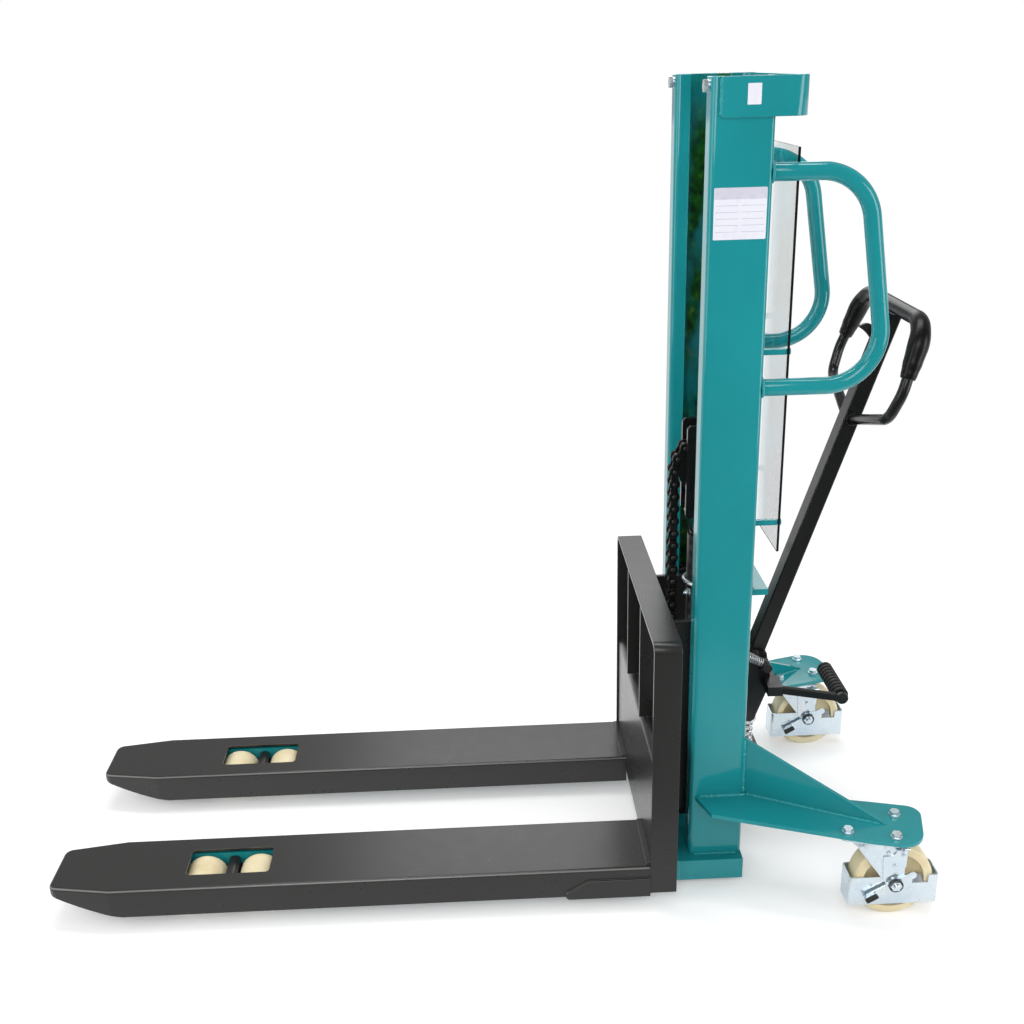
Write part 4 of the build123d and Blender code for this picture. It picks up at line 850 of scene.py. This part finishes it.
def heel_welds():
    """Short seams at the hoop's front, below the top of the forks."""
    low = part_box("carriage_hoop")[0]
    top_drop, bottom_drop = 2 * mm, 22 * mm
    seam = [(low.x - mm, low.y + 2 * mm, fork_top - top_drop),
            (low.x - mm, low.y + 0.5 * mm, fork_top - bottom_drop)]
    weld_carriage("heel_welds", [seam], 4 * mm)


outrigger_welds()
head_welds()
mast_foot_welds()
shelf_welds()
handle_welds()
rib_welds()
heel_welds()


# Labels: bare films with a grey band and rules
film_thickness, film_edge = 0.35 * mm, 0.1 * mm


def rating_label():
    width, height, corner = 87 * mm, 83 * mm, 1.5 * mm
    below_top = 211.5 * mm
    band, margin, band_corner = 18 * mm, 0.4 * mm, 0.8 * mm
    rule_width, rule_height, rule_corner = 38 * mm, 0.7 * mm, 0.2 * mm
    rule_rows, rule_pitch, rule_gap = 5, 10.5 * mm, 2.5 * mm
    print_layer = (0.2 * mm, 0.42 * mm, 0.05 * mm)
    place = facing(((mast_front + mast_rear) / 2, -mast_side, mast_top - below_top), leftward)
    bm = bmesh.new()
    add_prism(bm, rectangle(width, height, corner), place, 0.0, film_thickness, film_edge)
    shift = Matrix.Translation((0, height / 2 - band / 2 - margin, 0))
    add_prism(bm, rectangle(width - 2 * margin, band, band_corner), place @ shift, *print_layer, material=1)
    for row in range(rule_rows):
        level = height / 2 - band - (row + 1) * rule_pitch
        for side in (-1, 1):
            shift = Matrix.Translation((side * (rule_width / 2 + rule_gap), level, 0))
            rule = rectangle(rule_width, rule_height, rule_corner)
            add_prism(bm, rule, place @ shift, *print_layer, material=2)
    make_piece("rating_label", bm, [film, film_grey, film_rule], "chassis")


def small_label():
    bracket_low, bracket_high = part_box("mast_head_bracket")
    width, height, corner = 22 * mm, 32 * mm, mm
    from_front, below_top = 51 * mm, 27 * mm
    place = facing((bracket_low.x + from_front, bracket_low.y, bracket_high.z - below_top), leftward)
    bm = bmesh.new()
    add_prism(bm, rectangle(width, height, corner), place, 0.0, film_thickness, film_edge)
    make_piece("small_label", bm, [film], "chassis")


rating_label()
small_label()


# Guard screen: dark strips along the edges of the sheet
def screen_edges():
    low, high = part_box("guard_screen")
    centre = (low + high) / 2
    sheet = high.x - low.x
    proud, soft_edge = 0.25 * mm, 0.1 * mm
    upright = rectangle(sheet + 2 * proud, high.z - low.z, proud)
    level = rectangle(sheet, high.y - low.y, proud)
    bm = bmesh.new()
    for side in (-1, 1):
        place = facing((centre.x, side * high.y, centre.z), (0, side, 0))
        add_prism(bm, upright, place, 0.0, proud, soft_edge)
        place = facing((centre.x, 0, high.z if side > 0 else low.z), (0, 0, side), (0, 1, 0))
        add_prism(bm, level, place, 0.0, proud, soft_edge)
    make_piece("screen_edges", bm, [edge_black], "chassis")


screen_edges()


# Tiller: moulded grip, welded loop roots and the clamp bolt of the bar
tiller_turn = radians(18.16)
tiller_foot = Vector((557.1 * mm, 0, 413 * mm))
tiller_up = Vector((sin(tiller_turn), 0, cos(tiller_turn)))
tiller_back = Vector((cos(tiller_turn), 0, -sin(tiller_turn)))
loop_half, loop_top, loop_corner = 160 * mm, 724 * mm, 55 * mm
grip_end_half, grip_end = 181.34 * mm, 626 * mm
loop_root_half, loop_root, loop_weld_radius = 20.8 * mm, 503 * mm, 10.6 * mm
grip_profile = in_mm((0, 12.0), (2, 13.6), (10, 14.6), (30, 16.8), (62, 18.6), (95, 17.0), (140, 14.2))


def on_loop(y, height):
    """A point of the hand loop's plane, from distances across and up the bar."""
    return tiller_foot + Vector((0, y, 0)) + tiller_up * height


def grip_radius(way):
    """Radius of the grip at a distance from its end: a swell for the palm, then the thin top bar."""
    for (start, low), (end, high) in zip(grip_profile, grip_profile[1:]):
        if way <= end:
            share = (way - start) / (end - start)
            return low + (high - low) * (1 - cos(pi * share)) / 2
    return grip_profile[-1][1]


def moulded_grip():
    corners = [on_loop(grip_end_half, grip_end), on_loop(loop_half, loop_top), on_loop(-loop_half, loop_top),
               on_loop(-grip_end_half, grip_end)]
    points = evenly(rounded(corners, loop_corner, steps=16), step=2 * mm)
    travelled = [0.0]
    for before, after in zip(points, points[1:]):
        travelled.append(travelled[-1] + (after - before).length)
    radii = [grip_radius(min(way, travelled[-1] - way)) for way in travelled]
    bm = bmesh.new()
    add_sweep(bm, points, radii, sides=28)
    piece = make_piece("moulded_grip", bm, [plastic], "tiller", sharp=60)
    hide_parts("tiller_grip")


def loop_welds():
    """Rings where the hand loop meets the bar."""
    roots = [ring_run(on_loop(side * loop_root_half, loop_root), loop_weld_radius, tiller_back, tiller_up)
             for side in (-1, 1)]
    weld_bead("loop_welds", roots, 4 * mm, "tiller", black_bar)


def clamp_bolt():
    """The ends of the clamp bolt, on both sides of the bar's foot."""
    below_foot, before_foot, clamp_half = 9 * mm, 6 * mm, 24 * mm
    centre = tiller_foot - tiller_up * below_foot - tiller_back * before_foot
    bm = bmesh.new()
    for side in (-1, 1):
        place = facing((centre.x, side * clamp_half, centre.z), (0, side, 0))
        hex_bolt(bm, place, across=13 * mm, height=7 * mm, washer=18 * mm)
    make_piece("tiller_clamp_bolt", bm, [black], "tiller")


moulded_grip()
loop_welds()
clamp_bolt()


# Hydraulics: plugs on the pump casting and a bleed screw on the barrel
def pump_plugs():
    casting_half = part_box("pump_body")[1].y
    bm = bmesh.new()
    for x, z in in_mm((424, 112), (466, 150), (528, 140)):
        for side in (-1, 1):
            place = facing((x, side * casting_half, z), (0, side, 0))
            hex_bolt(bm, place, across=17 * mm, height=9 * mm, washer=24 * mm)
    make_piece("pump_plugs", bm, [zinc], "chassis")


def bleed_screw():
    barrel_low, barrel_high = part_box("cylinder_barrel")
    barrel = (barrel_low + barrel_high) / 2
    sunk = mm
    reach = (barrel_high.x - barrel_low.x) / 2 - sunk
    height = 545 * mm
    outward = Vector((-0.93, -0.37, 0)).normalized()
    place = facing(Vector((barrel.x, barrel.y, height)) + outward * reach, outward)
    nipple = in_mm((3, 6), (3, 11), (2, 12))
    bm = bmesh.new()
    hex_bolt(bm, place, across=10 * mm, height=7 * mm, washer=15 * mm)
    add_turned(bm, nipple, place, sides=16)
    make_piece("bleed_screw", bm, [zinc], "chassis")


pump_plugs()
bleed_screw()


# Castors: leg plates, brake springs and pads, axle ends and guard flaps
leg_face = 29.8 * mm
brake_face = leg_face + 3.3 * mm
nut_face = brake_face + 8.3 * mm
leg_plate_face = 2.2 * mm
leg_plate_corners = in_mm((-24, 10), (18, 37), (19, 74), (-2, 77), (-3.5, 70), (-8, 64.5), (-14, 62.5),
                          (-27, 62))
rivet_places = in_mm((-17, 69, 0), (-4, 41, 2), (11, 64, 2))
rivet_dome = in_mm((4, -1), (4, 1.2), (2.8, 2.8), (1, 3.2))
screw_shank = in_mm((2, 0), (2.6, 0.6), (2.6, 26), (2, 27))
screw_nut_radius, screw_nut_low, screw_nut_high = 5 * mm, 10 * mm, 15 * mm
axle_stub = in_mm((6.2, -1), (6.2, 3.4), (5, 4.6), (2, 4.8))


def leg_plates(hand, axle):
    """On each leg: a plate with a round notch, its rivets, a set screw with its nut, and the axle's end."""
    outline = [Vector(corner) for corner in leg_plate_corners]
    mirrored = [Vector((-point.x, point.y)) for point in reversed(outline)]
    bm = bmesh.new()
    for side in (-1, 1):
        outward = (0, side, 0)
        place = facing(axle + Vector((0, side * leg_face, 0)), outward)
        add_prism(bm, outline if side < 0 else mirrored, place, -mm, leg_plate_face, 0.5 * mm)
        for x, z, level in rivet_places:
            rivet = facing(axle + Vector((x, side * (leg_face + level), z)), outward)
            add_turned(bm, rivet_dome, rivet, sides=18)
        screw = facing(axle + Vector((-5 * mm, side * (leg_face + 3.5 * mm), 77 * mm)), (1, 0, 0))
        add_turned(bm, screw_shank, screw, sides=16)
        add_prism(bm, circle(screw_nut_radius, sides=6), screw, screw_nut_low, screw_nut_high, 0.6 * mm)
        end = facing(axle + Vector((0, side * nut_face, 0)), outward)
        add_turned(bm, axle_stub, end, sides=24)
    make_piece(f"castor_leg_plates_{hand}", bm, [zinc], f"castor_{hand}")


def brake_spring(hand, axle):
    """A torsion spring round the axle nut, with a straight tail."""
    wire, wound, tail = 2 * mm, 12.6 * mm, 9 * mm
    gap, pitch = 0.6 * wire, 1.05 * wire
    turns, steps = 2.6, 64
    first_angle = radians(200)
    points = []
    for step in range(steps + 1):
        turn = turns * step / steps
        angle = first_angle + 2 * pi * turn
        y = axle.y - brake_face - gap - pitch * turn
        points.append(Vector((axle.x + wound * cos(angle), y, axle.z + wound * sin(angle))))
    points.append(points[-1] + (points[-1] - points[-2]).normalized() * tail)
    bm = bmesh.new()
    add_sweep(bm, points, [wire / 2] * len(points), sides=8)
    make_piece(f"brake_spring_{hand}", bm, [pin_grey], f"castor_{hand}")


def brake_pad(hand, axle):
    """A ribbed pad on the tip of the brake lever."""
    tilt, reach = radians(30), 51 * mm
    pad_length, pad_width, pad_corner = 25 * mm, 12.5 * mm, 3 * mm
    rib_pitch, ribs_each_way = 2.5 * mm, 4
    rib = rectangle(1.4 * mm, 11 * mm, 0.6 * mm)
    tip = axle - Vector((cos(tilt), 0, sin(tilt))) * reach
    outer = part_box(f"castor_brake_{hand}")[0].y
    place = facing((tip.x, outer, tip.z), leftward, (-sin(tilt), 0, cos(tilt)))
    bm = bmesh.new()
    add_prism(bm, rectangle(pad_length, pad_width, pad_corner), place, -mm, 0.9 * mm, 0.5 * mm)
    for number in range(-ribs_each_way, ribs_each_way + 1):
        shift = Matrix.Translation((number * rib_pitch, 0, 0))
        add_prism(bm, rib, place @ shift, 0.4 * mm, 1.8 * mm, 0.4 * mm)
    make_piece(f"brake_pad_{hand}", bm, [rubber], f"castor_brake_{hand}")


def guard_flaps(hand, axle):
    """Flaps turned in from the notches in the guard's sides, towards the hollow of the wheel."""
    low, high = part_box(f"castor_guard_{hand}")
    notch_depth, notch_setback, sheet = 16 * mm, 46 * mm, 2.5 * mm
    flap_width, flap_height, flap_corner = 19 * mm, 17 * mm, 2 * mm
    lean = radians(38)
    bm = bmesh.new()
    for side in (-1, 1):
        up = Vector((0, -side * sin(lean), cos(lean)))
        outward = Vector((0, side * cos(lean), sin(lean)))
        root = Vector((axle.x + notch_setback, high.y if side > 0 else low.y, high.z - notch_depth - mm))
        place = facing(root + up * flap_height / 2, outward, up)
        add_prism(bm, rectangle(flap_width, flap_height, flap_corner), place, -sheet, 0.0, 0.4 * mm)
    make_piece(f"guard_flaps_{hand}", bm, [zinc], f"castor_{hand}")


for hand in ("left", "right"):
    axle = Vector(joint_named[f"castor_wheel_{hand}_spin"]["pos_m"])
    leg_plates(hand, axle)
    brake_spring(hand, axle)
    brake_pad(hand, axle)
    guard_flaps(hand, axle)


# Floor, backdrop and light
floor_pale, floor_dim, floor_bare = (0.86, 0.86, 0.86), (0.12, 0.12, 0.12), (0.0, 0.0, 0.0)
floor_lift = 0.25
sky_level = 0.5


def seen_rays(tree, *kinds):
    """One where a ray is of any of the kinds named."""
    rays = tree.nodes.new("ShaderNodeLightPath")
    total = rays.outputs[kinds[0]]
    for kind in kinds[1:]:
        either = tree.nodes.new("ShaderNodeMath")
        either.operation = "MAXIMUM"
        tree.links.new(total, either.inputs[0])
        tree.links.new(rays.outputs[kind], either.inputs[1])
        total = either.outputs[0]
    return total


def studio_floor():
    """A pale floor that keeps the shadow, runs out to white, and is dim in gloss before the object."""
    surface = Surface("studio_floor", floor_pale, roughness=0.9)
    surface.set(specular_ior_level=0.1, emission_color=(1.0, 1.0, 1.0))
    x, y = surface.split(surface.place)[:2]
    squares = [surface.maths("MULTIPLY", value, value) for value in (x, y)]
    distance = surface.maths("SQRT", surface.maths("ADD", *squares))
    far = surface.rise(distance, 1.1, 2.3)
    seen = seen_rays(surface.tree, "Is Camera Ray", "Is Transmission Ray")
    glossy = seen_rays(surface.tree, "Is Glossy Ray")
    behind = surface.rise(y, -1.2, 0.2)
    shown = surface.maths("MAXIMUM", seen, surface.maths("MULTIPLY", glossy, behind))
    lift = surface.maths("MULTIPLY", shown, surface.spread(far, 0.0, 1.0, floor_lift, 1.0))
    surface.wire(lift, surface.shader.inputs["Emission Strength"])
    bare = surface.maths("MULTIPLY", shown, far)
    beside_forks = surface.maths("MULTIPLY", surface.fall(x, 0.45, 0.65), surface.fall(y, -0.7, -0.2))
    ahead = surface.maths("MAXIMUM", beside_forks, surface.fall(y, -1.3, -0.5))
    dim = surface.maths("MULTIPLY", glossy, ahead)
    surface.colour(surface.mix(dim, surface.mix(bare, floor_pale, floor_bare), floor_dim))
    return surface.material


def make_floor():
    half = 30.0
    mesh = bpy.data.meshes.new("floor")
    corners = [(-half, -half, 0), (half, -half, 0), (half, half, 0), (-half, half, 0)]
    mesh.from_pydata(corners, [], [(0, 1, 2, 3)])
    mesh.materials.append(studio_floor())
    floor = bpy.data.objects.new("floor", mesh)
    bpy.context.scene.collection.objects.link(floor)


def make_world():
    """White to the camera and through clear sheet, dim at the front in gloss, a soft sky else."""
    world = bpy.data.worlds.new("studio")
    world.use_nodes = True
    tree = world.node_tree
    sky = tree.nodes["Background"]
    sky.inputs["Color"].default_value = (1.0, 1.0, 1.0, 1.0)
    way = tree.nodes.new("ShaderNodeSeparateXYZ")
    tree.links.new(tree.nodes.new("ShaderNodeTexCoord").outputs["Generated"], way.inputs["Vector"])
    room = tree.nodes.new("ShaderNodeMapRange")
    for key, value in (("From Min", -0.3), ("From Max", 0.4), ("To Min", 0.14), ("To Max", 0.5)):
        room.inputs[key].default_value = value
    tree.links.new(way.outputs["Y"], room.inputs["Value"])
    level = sky_level
    for kinds, value in ((("Is Glossy Ray",), room.outputs["Result"]),
                         (("Is Camera Ray", "Is Transmission Ray"), 1.0)):
        choose = tree.nodes.new("ShaderNodeMix")
        tree.links.new(seen_rays(tree, *kinds), choose.inputs["Factor"])
        for choice, target in ((level, choose.inputs["A"]), (value, choose.inputs["B"])):
            if isinstance(choice, float):
                target.default_value = choice
            else:
                tree.links.new(choice, target)
        level = choose.outputs["Result"]
    tree.links.new(level, sky.inputs["Strength"])
    bpy.context.scene.world = world


def soft_box(name, place, target, width, height, watts):
    """An area lamp that faces its target."""
    lamp = bpy.data.lights.new(name, "AREA")
    lamp.shape = "RECTANGLE"
    lamp.size = width
    lamp.size_y = height
    lamp.energy = watts
    holder = bpy.data.objects.new(name, lamp)
    holder.location = place
    holder.rotation_euler = (Vector(target) - Vector(place)).to_track_quat("-Z", "Y").to_euler()
    bpy.context.scene.collection.objects.link(holder)


make_floor()
make_world()
aim = (0.0, 0.0, 0.6)
soft_box("top_box", (0.1, 0.3, 4.0), aim, width=2.8, height=0.7, watts=55)
soft_box("front_box", (-0.5, -3.5, 3.0), aim, width=2.4, height=1.6, watts=50)
soft_box("left_box", (-3.2, -1.4, 2.1), aim, width=2.2, height=3.2, watts=50)
soft_box("right_box", (3.1, -1.7, 1.25), (0.4, 0.0, 1.0), width=1.3, height=2.3, watts=40)
soft_box("rear_box", (0.5, 3.2, 2.6), aim, width=2.4, height=1.6, watts=26)


# Camera at the photograph's place: pan from +Y towards +X, tilt above the horizon, and roll
camera_place = (1.7 * mm, -2191.4 * mm, 1541.1 * mm)
camera_pan = radians(1.7226)
camera_tilt = radians(-20.475)
camera_roll = radians(-1.527)
camera_lens, camera_sensor = 42.485, 36.0


def make_camera():
    camera = bpy.data.cameras.new("camera")
    camera.sensor_width = camera_sensor
    camera.lens = camera_lens
    holder = bpy.data.objects.new("camera", camera)
    turn = Matrix.Rotation(-camera_pan, 4, "Z") @ Matrix.Rotation(pi / 2 + camera_tilt, 4, "X")
    holder.matrix_world = Matrix.Translation(camera_place) @ turn @ Matrix.Rotation(camera_roll, 4, "Z")
    bpy.context.scene.collection.objects.link(holder)
    bpy.context.scene.camera = holder
    bpy.context.scene.view_settings.view_transform = "Standard"


make_camera()
